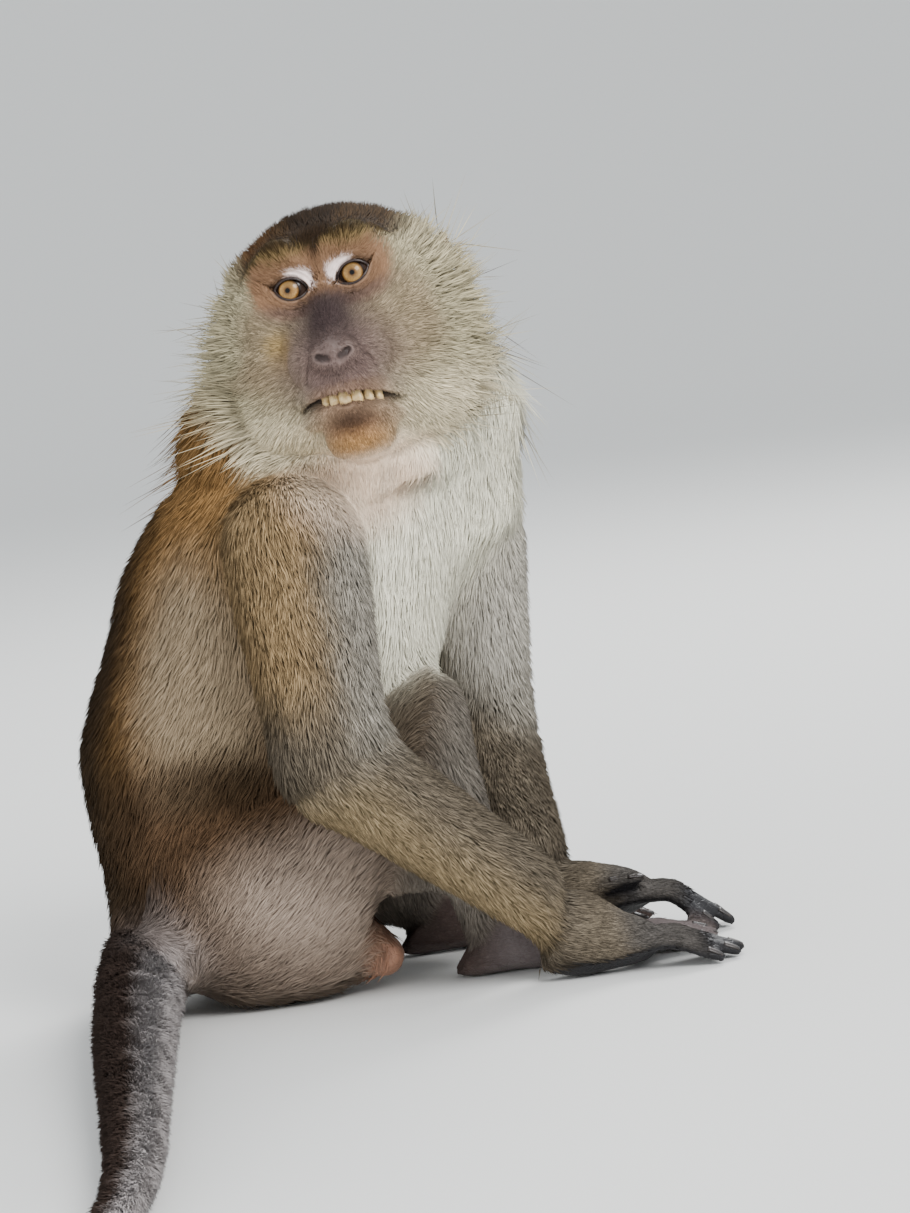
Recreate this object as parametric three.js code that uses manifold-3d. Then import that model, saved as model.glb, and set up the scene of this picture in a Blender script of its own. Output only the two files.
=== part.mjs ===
// Seated adult male long-tailed macaque, a still life-size model, out to the tips of its coat.
// Millimetres. +X is the way the hips face, +Y the animal's left, +Z up, and the floor is z = 0.
import * as THREE from "three";
import { mergeVertices } from "three/addons/utils/BufferGeometryUtils.js";
import Module from "manifold-3d";

const wasm = await Module();
wasm.setup();

// ---------- driving dimensions ----------
const GAP = 0.3; // between two sub-parts that meet
const EYE_SPACING = 31; // between the pupils
const EYE_RADIUS = 9.5;
const MOUTH_WIDTH = 44;
const SCROTUM_RADIUS = 19;
const TAIL_RADIUS = { base: 27, tip: 8 };
const TAIL_TAPER = 1.5; // above 1, the tail stays thick for longer
const HAND_BREADTH = 34;
const FOOT_BREADTH = 36;
const RIGHT = -1;
const LEFT = 1;

const at = (x, y, z) => new THREE.Vector3(x, y, z);
const radians = THREE.MathUtils.degToRad;
const { lerp, clamp } = THREE.MathUtils;

// Landmarks of the skeleton, from the hips up and out.
const pelvis = at(-10, 6, 61);
const belly = at(-2, 4, 122);
const thorax = at(30, 4, 190);
const shoulders = at(58, -2, 236);
const neckBase = at(56, -6, 262);
const neckTop = at(76, -24, 316);
const skullCentre = at(81.9, -34, 343);

const arms = {
  right: { shoulder: at(44, -80, 232), elbow: at(49, -120, 128), wrist: at(146, -82, 36) },
  left: { shoulder: at(124, 44, 224), elbow: at(123, 78, 106), wrist: at(142, -2, 36) },
};
const legs = {
  right: { hip: at(-4, -46, 64), knee: at(92, -46, 136), ankle: at(114, -42, 30) },
  left: { hip: at(-4, 54, 64), knee: at(67, 50, 130), ankle: at(86, 38, 30) },
};
const hands = {
  right: { place: at(144, -80, 0), heading: -3, knuckleHeight: 15 },
  left: { place: at(146, 2, 0), heading: -3, knuckleHeight: 25 },
};
const feet = {
  right: { place: at(114, -42, 0), heading: 1 },
  left: { place: at(86, 39, 0), heading: 4 },
};
const tailPath = new THREE.CatmullRomCurve3([
  at(-44, 14, 66),
  at(-56, -4, 38),
  at(-61, -50, 25.5),
  at(-60, -130, 23),
  at(-56, -230, 20),
  at(-50, -340, 17),
  at(-46, -440, 13),
  at(-54, -520, 9.5),
  at(-84, -575, 7),
]);

// ---------- shapes ----------
// A shape is a function that gives a point's height above the surface in mm, negative inside.
function limb(from, to, startRadius, endRadius) {
  const bone = new THREE.Line3(from, to);
  const nearest = new THREE.Vector3();
  return (p) => {
    const t = bone.closestPointToPointParameter(p, true);
    return p.distanceTo(bone.at(t, nearest)) - lerp(startRadius, endRadius, t);
  };
}

function egg(centre, radii, heading = 0, pitch = 0) {
  const turn = new THREE.Euler(0, radians(-pitch), radians(heading), "ZYX");
  const toEgg = new THREE.Matrix4().makeRotationFromEuler(turn).setPosition(centre).invert();
  const q = new THREE.Vector3();
  return (p) => {
    q.copy(p).applyMatrix4(toEgg).divide(radii);
    const outward = q.length();
    const slope = q.divide(radii).length();
    return slope > 1e-9 ? (outward * (outward - 1)) / slope : -radii.x;
  };
}

function meet(a, b, softness) {
  const overlap = Math.max(softness - Math.abs(a - b), 0) / softness;
  return Math.min(a, b) - (overlap * overlap * softness) / 4;
}

const blend = (softness, ...shapes) => (p) =>
  shapes.reduce((sum, shape) => meet(sum, shape(p), softness), 1e3);

const carve = (softness, shape, ...tools) => (p) =>
  -tools.reduce((sum, tool) => meet(sum, tool(p), softness), -shape(p));

const straight = (from, to) => new THREE.LineCurve3(from, to);

// A closed mesh of a shape: a capsule's vertices move out from a line inside it to its surface.
function wrap(shape, line, { sides, steps, caps }, grow = 0) {
  const capsule = new THREE.CapsuleGeometry(1, 1, caps, sides, steps);
  const { position, normal } = capsule.attributes;
  const frames = line.computeFrenetFrames(steps, false);
  const start = new THREE.Vector3();
  const way = new THREE.Vector3();
  const p = new THREE.Vector3();
  const heightAt = (distance) => shape(p.copy(start).addScaledVector(way, distance)) - grow;
  for (let i = 0; i < position.count; i++) {
    const along = clamp(position.getY(i) + 0.5, 0, 1);
    const ring = Math.round(along * steps);
    line.getPointAt(along, start);
    way
      .set(0, 0, 0)
      .addScaledVector(frames.normals[ring], normal.getX(i))
      .addScaledVector(frames.tangents[ring], normal.getY(i))
      .addScaledVector(frames.binormals[ring], -normal.getZ(i))
      .normalize();
    let inside = 0;
    let outside = 0;
    for (let height = heightAt(0); height < 0; height = heightAt(outside)) {
      inside = outside;
      outside += Math.max(0.5, -0.7 * height);
    }
    for (let halving = 0; halving < 12; halving++) {
      const middle = (inside + outside) / 2;
      if (heightAt(middle) < 0) inside = middle;
      else outside = middle;
    }
    heightAt(inside);
    position.setXYZ(i, p.x, p.y, p.z);
  }
  return capsule;
}

// ---------- joining and cutting ----------
function solid(geometry, place = new THREE.Matrix4()) {
  const bare = geometry.clone().applyMatrix4(place);
  bare.deleteAttribute("normal");
  bare.deleteAttribute("uv");
  const merged = mergeVertices(bare, 1e-3);
  const corners = merged.index.array;
  const triangles = [];
  for (let i = 0; i < corners.length; i += 3) {
    const [a, b, c] = corners.slice(i, i + 3);
    if (a !== b && b !== c && c !== a) triangles.push(a, b, c);
  }
  const vertProperties = merged.attributes.position.array;
  const triVerts = new Uint32Array(triangles);
  return new wasm.Manifold(new wasm.Mesh({ numProp: 3, vertProperties, triVerts }));
}

const join = (first, ...rest) => rest.reduce((whole, piece) => whole.add(piece), first);
const cut = (first, ...rest) => rest.reduce((whole, piece) => whole.subtract(piece), first);

// Everything beyond a plane, on the side that its normal points to.
function beyond(point, normal) {
  const size = 2000;
  const n = normal.clone().normalize();
  const centre = point.clone().addScaledVector(n, size / 2);
  const upright = new THREE.Quaternion().setFromUnitVectors(at(0, 0, 1), n);
  const place = new THREE.Matrix4().compose(centre, upright, at(1, 1, 1));
  return solid(new THREE.BoxGeometry(size, size, size), place);
}

// What is cut off each of two lengths that meet at a joint: the cut halves the angle there.
function mitre(before, joint, after) {
  const n = joint.clone().sub(before).normalize().add(after.clone().sub(joint).normalize());
  n.normalize();
  return {
    pastJoint: beyond(joint.clone().addScaledVector(n, -GAP / 2), n),
    beforeJoint: beyond(joint.clone().addScaledVector(n, GAP / 2), n.clone().negate()),
  };
}

const underFloor = beyond(at(0, 0, 0), at(0, 0, -1));

// A cut can leave slivers beside the piece, so its largest body is kept.
function meshOf(name, made, colour, roughness = 0.9) {
  const largest = made.decompose().sort((a, b) => b.volume() - a.volume())[0];
  const { vertProperties, triVerts } = largest.getMesh();
  const geometry = new THREE.BufferGeometry()
    .setAttribute("position", new THREE.BufferAttribute(vertProperties, 3))
    .setIndex(new THREE.BufferAttribute(triVerts, 1));
  geometry.computeVertexNormals();
  const material = new THREE.MeshStandardMaterial({ color: colour, roughness, metalness: 0 });
  const mesh = new THREE.Mesh(geometry, material);
  mesh.name = name;
  return mesh;
}

const COAT = { back: 0x6d573d, cape: 0x80643f, chest: 0xcfc8b6, limb: 0x7d705b, tail: 0x5c5346 };
const SKIN = { dark: 0x3b3534, ear: 0x6b564a, eye: 0xb98a35 };

const body = new THREE.Group();
const head = new THREE.Group();
const SIDE_OF = { right: RIGHT, left: LEFT };
const bothSides = (make) => [make(RIGHT), make(LEFT)];

// ---------- trunk ----------
const trunkShape = blend(
  24,
  egg(pelvis, at(70, 68, 66), -10),
  egg(belly, at(85, 76, 78), -18),
  egg(thorax, at(92, 80, 76), -38),
  egg(shoulders, at(74, 88, 52), -45),
  egg(at(126, 26, 248), at(46, 44, 48)),
);
const trunkLine = new THREE.CatmullRomCurve3([pelvis, belly, thorax, shoulders]);
const trunkGrid = { sides: 18, steps: 10, caps: 4 };
const trunkFlesh = solid(wrap(trunkShape, trunkLine, trunkGrid));
const trunkRoom = solid(wrap(trunkShape, trunkLine, trunkGrid, GAP));

const scrotumLine = straight(at(40, -32, 26), at(58, -46, SCROTUM_RADIUS - 1));
const scrotumShape = limb(scrotumLine.v1, scrotumLine.v2, SCROTUM_RADIUS - 2, SCROTUM_RADIUS);
const scrotumGrid = { sides: 10, steps: 1, caps: 4 };
const scrotum = solid(wrap(scrotumShape, scrotumLine, scrotumGrid));
const scrotumRoom = solid(wrap(scrotumShape, scrotumLine, scrotumGrid, GAP));
const trunkRooms = join(trunkRoom, scrotumRoom);

// ---------- head: x forward, y to its left and z up, from the middle of the skull ----------
head.position.copy(skullCentre);
head.rotation.set(radians(8), radians(-6), radians(-95.5), "ZYX");
head.updateMatrix();

const headFlesh = blend(
  14,
  egg(at(-4, 0, 4), at(56, 57, 47)),
  limb(at(37, -21, 20), at(37, 21, 20), 12, 12),
  limb(at(40, 0, 4), at(79, 0, -28), 11, 9),
  limb(at(40, 0, -36), at(63, 0, -41), 25, 21),
  limb(at(20, 0, -60), at(60, 0, -64), 24, 16),
  ...bothSides((side) => egg(at(26, side * 31, -14), at(27, 19, 30))),
  ...bothSides((side) => egg(at(18, side * 38, -46), at(36, 26, 32))),
  ...bothSides((side) => egg(at(-4, side * 46, -14), at(34, 34, 51))),
);
const eyeHollow = (side) => egg(at(54, (side * EYE_SPACING) / 2, 8), at(12, 10, 8));
const headShape = carve(5, headFlesh, ...bothSides(eyeHollow));
const headLine = straight(at(-4, 0, -4), at(44, 0, -30));
const headGrid = { sides: 24, steps: 4, caps: 8 };

const moved = (x, y, z) => new THREE.Matrix4().makeTranslation(x, y, z);
const eyeCentre = (side) => at(39, (side * EYE_SPACING) / 2, 8);
const eyeSocket = new THREE.SphereGeometry(EYE_RADIUS + GAP, 10, 8);
const eyelids = new THREE.TorusGeometry(8.4, 2.3, 4, 10).scale(1, 0.72, 1).rotateY(Math.PI / 2);
const nostril = new THREE.CapsuleGeometry(2.6, 8, 2, 6).rotateZ(radians(75));

const MOUTH = { x: 76, z: -54, depth: 26, gape: 6 };
const TOOTH = { width: 4.6, height: 6.5, depth: 3 };
const TOOTH_COUNT = 6;

function carveFace(flesh) {
  const slit = new THREE.SphereGeometry(0.5, 10, 4).scale(MOUTH.depth, MOUTH_WIDTH, MOUTH.gape);
  let face = cut(flesh, solid(slit, moved(MOUTH.x, 0, MOUTH.z)));
  for (let i = 0; i < TOOTH_COUNT; i++) {
    const across = i - (TOOTH_COUNT - 1) / 2;
    const tooth = new THREE.BoxGeometry(TOOTH.depth, TOOTH.width, TOOTH.height);
    const back = MOUTH.x + 2 - 0.7 * across * across;
    const raise = MOUTH.z + MOUTH.gape / 2;
    face = face.add(solid(tooth, moved(back, across * (TOOTH.width + 0.2), raise)));
  }
  for (const side of [RIGHT, LEFT]) {
    const { x, y, z } = eyeCentre(side);
    face = face.add(solid(eyelids, moved(x + 5, y, z)));
    face = face.subtract(solid(eyeSocket, moved(x, y, z)));
    face = face.subtract(solid(nostril, moved(84, side * 5.5, -31)));
  }
  return face;
}

head.add(meshOf("head", carveFace(solid(wrap(headShape, headLine, headGrid))), COAT.cape));
const headRoom = solid(wrap(headShape, headLine, headGrid, GAP));

const EAR = { x: -29, spread: 56, z: 8, turn: 24 };
const earGrid = { sides: 10, steps: 2, caps: 3 };

function wrapEar(side, grow = 0) {
  const middle = at(EAR.x, side * EAR.spread, EAR.z);
  const shell = egg(middle, at(16, 8, 19), side * EAR.turn);
  const bowl = egg(middle.clone().add(at(6, side * 9, 1)), at(11, 7, 13), side * EAR.turn);
  const line = straight(middle.clone().add(at(0, 0, -6)), middle.clone().add(at(0, 0, 6)));
  return solid(wrap(carve(2, shell, bowl), line, earGrid, grow));
}

for (const [name, side] of Object.entries(SIDE_OF)) {
  const eyeBall = solid(new THREE.SphereGeometry(EYE_RADIUS, 10, 8));
  const eye = meshOf(`eye_${name}`, eyeBall, SKIN.eye, 0.1);
  eye.position.copy(eyeCentre(side));
  head.add(eye, meshOf(`ear_${name}`, cut(wrapEar(side), headRoom), SKIN.ear));
}

// ---------- neck, and the trunk below it ----------
const neckShape = blend(
  18,
  limb(neckBase, neckTop, 72, 61),
  egg(at(92, -64, 268), at(34, 26, 22), -8),
  egg(at(134, 8, 286), at(42, 46, 58)),
);
const neckGrid = { sides: 14, steps: 3, caps: 3 };
const neckLine = straight(neckBase, neckTop);
const neck = solid(wrap(neckShape, neckLine, neckGrid));
const neckRoom = solid(wrap(neckShape, neckLine, neckGrid, GAP));
const earRooms = bothSides((side) => wrapEar(side, GAP));
const headRooms = join(headRoom, ...earRooms).transform(head.matrix.elements);
const trunk = cut(join(trunkFlesh, scrotum), underFloor, headRooms);
body.add(meshOf("trunk", trunk, COAT.back));
body.add(meshOf("neck", cut(neck, trunkRooms, headRooms), COAT.chest));

// ---------- limbs ----------
const limbGrid = { sides: 10, steps: 5, caps: 3 };
const thighGrid = { sides: 14, steps: 6, caps: 4 };

// The two lengths of a limb, cut through its middle joint and, at its end, off the hand or foot.
function parted(shape, [top, middle, end], paw, upperGrid) {
  const inPaw = end.clone().add(at(1, 0, 0).applyAxisAngle(at(0, 0, 1), radians(paw.heading)));
  const middleCut = mitre(top, middle, end);
  const endCut = mitre(middle, end, inPaw);
  const lower = solid(wrap(shape, straight(middle, end), limbGrid));
  return {
    upper: cut(solid(wrap(shape, straight(top, middle), upperGrid)), middleCut.pastJoint),
    upperRoom: solid(wrap(shape, straight(top, middle), upperGrid, GAP)),
    lower: cut(lower, middleCut.beforeJoint, endCut.pastJoint),
    beforePaw: endCut.beforeJoint,
  };
}

function makeArm({ shoulder, elbow, wrist }, hand) {
  const shape = blend(10, limb(shoulder, elbow, 40, 30), limb(elbow, wrist, 30, 21));
  return parted(shape, [shoulder, elbow, wrist], hand, limbGrid);
}

function makeLeg({ hip, knee, ankle }, foot) {
  const haunch = egg(at(12, hip.y, 54), at(74, 38, 62));
  const shape = blend(14, haunch, limb(hip, knee, 46, 25), limb(knee, ankle, 25, 17));
  return parted(shape, [hip, knee, ankle], foot, thighGrid);
}

// A finger or toe: a bent tube, thinner at its end.
function digit(points, startRadius, endRadius) {
  const line = new THREE.CatmullRomCurve3(points);
  const bones = points.slice(1).map((end, i) => {
    const radiusAt = (n) => lerp(startRadius, endRadius, n / (points.length - 1));
    return limb(points[i], end, radiusAt(i), radiusAt(i + 1));
  });
  return solid(wrap(blend(1, ...bones), line, { sides: 6, steps: 2, caps: 2 }));
}

// A hand or foot in its own frame: digits point along x, and the thumb or big toe is on thumbSide.
function makePaw({ palm, palmLine, digits, thumb, thumbSide }) {
  const mirrored = ([x, y, z]) => at(x, y * thumbSide, z);
  const pad = solid(wrap(palm, palmLine, { sides: 9, steps: 3, caps: 3 }));
  const fingers = digits.map(({ from, length, radius, arch }) => {
    const [x, y, z] = from;
    const bend = (t, lift) => mirrored([x + length * t, y * (1 + 0.25 * t), lift]);
    return digit([bend(-0.3, z), bend(0.4, z + arch), bend(1, radius - 1.8)], radius, radius - 1.4);
  });
  const toe = digit(thumb.points.map(mirrored), thumb.radius, thumb.radius - 1.4);
  return join(pad, ...fingers, toe);
}

function makeHand(thumbSide, knuckles) {
  const rowY = (n) => (1.5 - n) * (HAND_BREADTH / 4);
  const lengths = [38, 46, 44, 36];
  const wrist = egg(at(6, 0, 26), at(26, 18, 19));
  const back = egg(at(28, 0, knuckles + 1), at(27, HAND_BREADTH / 2, 14), 0, -8);
  return makePaw({
    thumbSide,
    palm: blend(8, wrist, back, egg(at(10, 0, 10), at(20, 14, 11))),
    palmLine: straight(at(4, 0, 18), at(32, 0, knuckles - 2)),
    digits: lengths.map((length, n) => ({
      from: [44, rowY(n), knuckles - 2],
      length,
      radius: 5.4,
      arch: 1,
    })),
    thumb: {
      points: [[14, 10, knuckles + 4], [30, 16, 1.6 * knuckles - 8], [46, 19, 2 * knuckles - 16]],
      radius: 5.6,
    },
  });
}

function makeFoot(thumbSide) {
  const rowY = (n) => (1.5 - n) * (FOOT_BREADTH / 4.2);
  const lengths = [36, 40, 38, 33];
  return makePaw({
    thumbSide,
    palm: blend(
      8,
      egg(at(-12, 0, 13), at(18, 14, 14)),
      egg(at(30, 0, 10), at(42, FOOT_BREADTH / 2, 11)),
      limb(at(0, 0, 34), at(14, 0, 16), 15, 12),
    ),
    palmLine: straight(at(-10, 0, 12), at(48, 0, 9)),
    digits: lengths.map((length, n) => ({ from: [70, rowY(n), 8], length, radius: 5.4, arch: 2 })),
    thumb: { points: [[26, 12, 9], [46, 20, 8], [66, 23, 5]], radius: 6.8 },
  });
}

function placed(paw, { place, heading }) {
  const turned = new THREE.Matrix4().makeRotationZ(radians(heading)).setPosition(place);
  return cut(paw.transform(turned.elements), underFloor);
}

const thighRooms = [];
for (const [name, side] of Object.entries(SIDE_OF)) {
  const arm = makeArm(arms[name], hands[name]);
  const leg = makeLeg(legs[name], feet[name]);
  body.add(meshOf(`upper_arm_${name}`, cut(arm.upper, trunkRooms, neckRoom, headRooms), COAT.cape));
  body.add(meshOf(`forearm_${name}`, arm.lower, COAT.limb));
  body.add(meshOf(`thigh_${name}`, cut(leg.upper, trunkRooms, underFloor), COAT.back));
  body.add(meshOf(`shin_${name}`, cut(leg.lower, trunkRooms), COAT.limb));

  thighRooms.push(leg.upperRoom);

  // Thumbs and big toes are on the inner side: the animal's left for its right limbs.
  const hand = placed(makeHand(-side, hands[name].knuckleHeight), hands[name]);
  const foot = placed(makeFoot(-side), feet[name]);
  body.add(meshOf(`hand_${name}`, cut(hand, arm.beforePaw), SKIN.dark, 0.6));
  body.add(meshOf(`foot_${name}`, cut(foot, leg.beforePaw), SKIN.dark, 0.6));
}

// ---------- tail ----------
// Each length runs between two places along the tail, given as parts of its whole length.
const tailLengths = { base: [0, 0.26], middle: [0.26, 0.62], tip: [0.62, 1] };
const TAIL_RINGS = 8;

function tailLength(from, to) {
  const share = (i) => lerp(from, to, i / TAIL_RINGS);
  const points = Array.from({ length: TAIL_RINGS + 1 }, (_, i) => tailPath.getPointAt(share(i)));
  const radiusAt = (i) => lerp(TAIL_RADIUS.base, TAIL_RADIUS.tip, share(i) ** TAIL_TAPER);
  const bones = points.slice(1).map((end, i) => limb(points[i], end, radiusAt(i), radiusAt(i + 1)));
  const grid = { sides: 8, steps: TAIL_RINGS, caps: 2 };
  return solid(wrap(blend(1, ...bones), new THREE.CatmullRomCurve3(points), grid));
}

for (const [name, [from, to]] of Object.entries(tailLengths)) {
  const trims = [trunkRooms, underFloor, ...thighRooms];
  for (const [share, way] of [[from, -1], [to, 1]]) {
    const along = tailPath.getTangentAt(share).multiplyScalar(way);
    const edge = tailPath.getPointAt(share).addScaledVector(along, -GAP / 2);
    if (share > 0 && share < 1) trims.push(beyond(edge, along));
  }
  body.add(meshOf(`tail_${name}`, cut(tailLength(from, to), ...trims), COAT.tail));
}

// The origin is under the middle of the whole model, tail included, where it rests on the floor.
const monkey = new THREE.Group();
monkey.add(body, head);
const middle = new THREE.Box3().setFromObject(monkey).getCenter(new THREE.Vector3());
monkey.position.set(-middle.x, -middle.y, 0);
export default monkey;
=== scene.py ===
# %% [markdown]
# # A long-tailed macaque, life-size
# A museum model of a seated male macaque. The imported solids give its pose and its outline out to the
# tips of the coat. This lesson gives it one smooth skin that lies inside them by the coat's depth, a
# head with lids, nostrils and lips, eyes, teeth and nails, and a coat of many thousand small tufts of
# solid mesh that lie the way the hair does.

import math
from contextlib import contextmanager

import bmesh
import bpy
import numpy as np
from mathutils import Matrix, Vector
from mathutils.bvhtree import BVHTree
from mathutils.kdtree import KDTree


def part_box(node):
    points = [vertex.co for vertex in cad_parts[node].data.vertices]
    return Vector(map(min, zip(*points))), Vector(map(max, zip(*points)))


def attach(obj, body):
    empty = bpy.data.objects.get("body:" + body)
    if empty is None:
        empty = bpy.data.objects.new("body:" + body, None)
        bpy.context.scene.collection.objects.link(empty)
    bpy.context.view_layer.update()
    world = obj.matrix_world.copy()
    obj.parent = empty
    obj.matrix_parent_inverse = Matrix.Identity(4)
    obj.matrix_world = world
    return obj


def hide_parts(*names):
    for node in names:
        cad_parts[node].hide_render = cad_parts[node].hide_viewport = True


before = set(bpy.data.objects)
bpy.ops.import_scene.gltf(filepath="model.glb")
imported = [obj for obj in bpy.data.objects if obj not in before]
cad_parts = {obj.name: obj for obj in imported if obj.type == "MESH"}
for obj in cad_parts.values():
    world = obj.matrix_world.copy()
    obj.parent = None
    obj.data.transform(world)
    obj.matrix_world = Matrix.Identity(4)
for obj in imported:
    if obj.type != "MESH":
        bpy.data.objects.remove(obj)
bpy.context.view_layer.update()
MM = 0.001
SEED = 11

# %% [markdown]
# ## Camera, floor and light
# The camera looks straight along +Y at the animal's side, a little from above, from 2.2 m away. It is
# rolled a few degrees, because the ground that the animal sat on was not level. A long lens is a
# narrow field of view. The floor is one large pale sheet, and the light is soft: a broad lamp high on
# the right, a weaker one on the left and one behind, so that the fur shows its edges.

# %% Camera
AIM = Vector((44.5, 207.0, 184.6)) * MM
CAMERA_DISTANCE = 2.2
CAMERA_PITCH = math.radians(6)
CAMERA_ROLL = math.radians(8)
FIELD_HEIGHT = math.radians(15.69)

bpy.ops.object.camera_add()
camera = bpy.context.object
camera.name = "camera"
backward = Vector((0, -math.cos(CAMERA_PITCH), math.sin(CAMERA_PITCH)))
camera.location = AIM + backward * CAMERA_DISTANCE
upright = Matrix.Rotation(math.pi / 2 - CAMERA_PITCH, 4, "X")
camera.rotation_euler = (upright @ Matrix.Rotation(-CAMERA_ROLL, 4, "Z")).to_euler()
camera.data.sensor_fit = "VERTICAL"
camera.data.angle = FIELD_HEIGHT
camera.data.clip_end = 20
bpy.context.scene.camera = camera
print("camera at", [round(c, 3) for c in camera.location])

# %% Floor
FLOOR_SIZE = 12.0
WALL_LEAN, WALL_HEIGHT = 1.0, 6.0
SWEEP = 4.0


@contextmanager
def edit_mode(action=None):
    """Edits the active object, with everything ("SELECT") or nothing ("DESELECT") selected first."""
    bpy.ops.object.mode_set(mode="EDIT")
    if action:
        bpy.ops.mesh.select_all(action=action)
    yield
    bpy.ops.object.mode_set(mode="OBJECT")


def select_edges(obj, wanted):
    for edge in obj.data.edges:
        edge.select = all(wanted(obj.data.vertices[i].co) for i in edge.vertices)


def new_material(name, **sockets):
    """A Principled material, with Base_Color for its socket Base Color and so on."""
    material = bpy.data.materials.new(name)
    material.use_nodes = True
    shader = material.node_tree.nodes["Principled BSDF"]
    for key, value in sockets.items():
        shader.inputs[key.replace("_", " ")].default_value = value
    return material, material.node_tree, shader


bpy.ops.mesh.primitive_plane_add(size=FLOOR_SIZE, location=(0, 2, 0))
floor = bpy.context.object
floor.name = "floor"
with edit_mode("DESELECT"):
    pass
select_edges(floor, lambda end: end.y > 0)
with edit_mode():
    bpy.ops.mesh.extrude_region_move(TRANSFORM_OT_translate={"value": (0, WALL_LEAN, WALL_HEIGHT)})
select_edges(floor, lambda end: end.y > 0 and end.z < 0.1)
with edit_mode():
    bpy.ops.mesh.bevel(offset=SWEEP, segments=40)
bpy.ops.object.shade_smooth()
floor.data.materials.append(new_material("pale_floor", Base_Color=(0.72, 0.72, 0.7, 1), Roughness=0.8)[0])
print("floor:", len(floor.data.polygons), "faces")

# %% Lights
LAMPS = {
    "key": ((1.3, -1.9, 2.0), 1.6, 104),
    "fill": ((-1.6, -1.9, 0.5), 1.8, 34),
    "rim": ((0.7, 2.0, 1.7), 1.2, 44),
}
for name, (place, size, power) in LAMPS.items():
    bpy.ops.object.light_add(type="AREA", location=place)
    lamp = bpy.context.object
    lamp.name = name
    lamp.data.shape = "DISK"
    lamp.data.size = size
    lamp.data.energy = power
    lamp.visible_glossy = name != "fill"
    lamp.rotation_euler = (AIM - Vector(place)).to_track_quat("-Z", "Y").to_euler()

world = bpy.data.worlds.new("soft_sky")
world.use_nodes = True
sky = world.node_tree.nodes["Background"].inputs
sky["Color"].default_value = (0.92, 0.96, 1.0, 1)
sky["Strength"].default_value = 1.15
bpy.context.scene.world = world
print("lamps:", len(LAMPS))

# %% [markdown]
# ## Reading the solids
# The flesh nodes are copied, never changed. A few helpers move points between Blender's metres and
# the millimetres used here, and find where two neighbouring lengths of the body meet: those places
# are the joints of the skeleton, and they steer both the depth and the lie of the coat.

# %% Helpers for meshes
FLESH = [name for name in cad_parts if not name.startswith("eye_")]


def deselect():
    for o in bpy.context.selected_objects:
        o.select_set(False)


def only(obj):
    deselect()
    obj.select_set(True)
    bpy.context.view_layer.objects.active = obj


def join(pieces, name):
    deselect()
    for piece in pieces:
        piece.select_set(True)
    bpy.context.view_layer.objects.active = pieces[0]
    bpy.ops.object.join()
    bpy.context.object.name = name
    return bpy.context.object


def read(items, key, width, form=np.float32):
    """One row of numbers for each vertex, edge or corner of a mesh."""
    flat = np.empty(len(items) * width, form)
    items.foreach_get(key, flat)
    return flat.reshape(-1, width)


def points_of(obj):
    return read(obj.data.vertices, "co", 3).astype(float) / MM


def move_points(obj, points):
    obj.data.vertices.foreach_set("co", (points * MM).astype(np.float32).ravel())
    obj.data.update()


def normals_of(obj):
    return read(obj.data.vertex_normals, "vector", 3).astype(float)


def edges_of(obj):
    return read(obj.data.edges, "vertices", 2, np.int32)


def apply_modifier(obj, kind, **settings):
    only(obj)
    modifier = obj.modifiers.new(kind.lower(), kind)
    for key, value in settings.items():
        setattr(modifier, key, value)
    bpy.ops.object.modifier_apply(modifier=modifier.name)


def unit(vectors):
    return vectors / np.maximum(np.linalg.norm(vectors, axis=-1, keepdims=True), 1e-9)


def spread(values, edges, rounds):
    """Each vertex takes the mean of its own values and its neighbours', over and over."""
    count = len(values)
    a, b = edges[:, 0], edges[:, 1]
    share = 1 + np.bincount(a, minlength=count) + np.bincount(b, minlength=count)
    values = values.reshape(count, -1).copy()
    for _ in range(rounds):
        for c in range(values.shape[1]):
            column = values[:, c]
            total = column + np.bincount(a, column[b], count) + np.bincount(b, column[a], count)
            values[:, c] = total / share
    return values


# %% Where neighbours meet
def kind(node):
    return node.replace("_right", "").replace("_left", "")


def tree_of(node):
    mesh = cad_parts[node].data
    return BVHTree.FromPolygons([v.co for v in mesh.vertices], [p.vertices for p in mesh.polygons])


def seam(a, b, reach=1.5):
    """The middle of the rim where node a meets node b, in mm."""
    tree = tree_of(b)
    near = []
    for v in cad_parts[a].data.vertices:
        if tree.find_nearest(v.co, reach * MM)[0] is not None:
            near.append(np.array(v.co) / MM)
    return np.mean(near, axis=0)


def far_end(node, start):
    points = points_of(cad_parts[node])
    return points[np.argmax(np.linalg.norm(points - start, axis=1))]


bones = {"trunk": (seam("neck", "trunk"), seam("tail_base", "trunk"))}
bones["neck"] = (seam("head", "neck"), bones["trunk"][0])


def chain(start, *names):
    """The bones of one limb or tail, each from the end of the last to where it meets the next."""
    for name, following in zip(names, (*names[1:], None)):
        end = seam(name, following) if following else far_end(name, start)
        bones[name] = (start, end)
        start = end


for side in ("right", "left"):
    for limb in (("upper_arm", "forearm", "hand"), ("thigh", "shin", "foot")):
        names = [f"{part}_{side}" for part in limb]
        chain(seam(names[0], "trunk"), *names)
chain(bones["trunk"][1], "tail_base", "tail_middle", "tail_tip")
for name, (start, end) in bones.items():
    print(f"{name:16s} {np.round(start)} -> {np.round(end)}")

# %% [markdown]
# ## The skin of the body
# Copies of the flesh nodes are swollen by a hair so that they overlap, joined and remeshed as one
# closed surface of small even faces, and any loose crumb is thrown away. Each vertex then learns which
# nodes it belongs to, and sinks below the solid by the depth that the coat has there. The head is sunk
# further, because a finer head replaces it.

# %% One closed body
VOXEL = 2.1
OVERLAP = {"paws": 0.45, "rest": 1.5}
FINE = ("hand", "foot", "ear")

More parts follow.
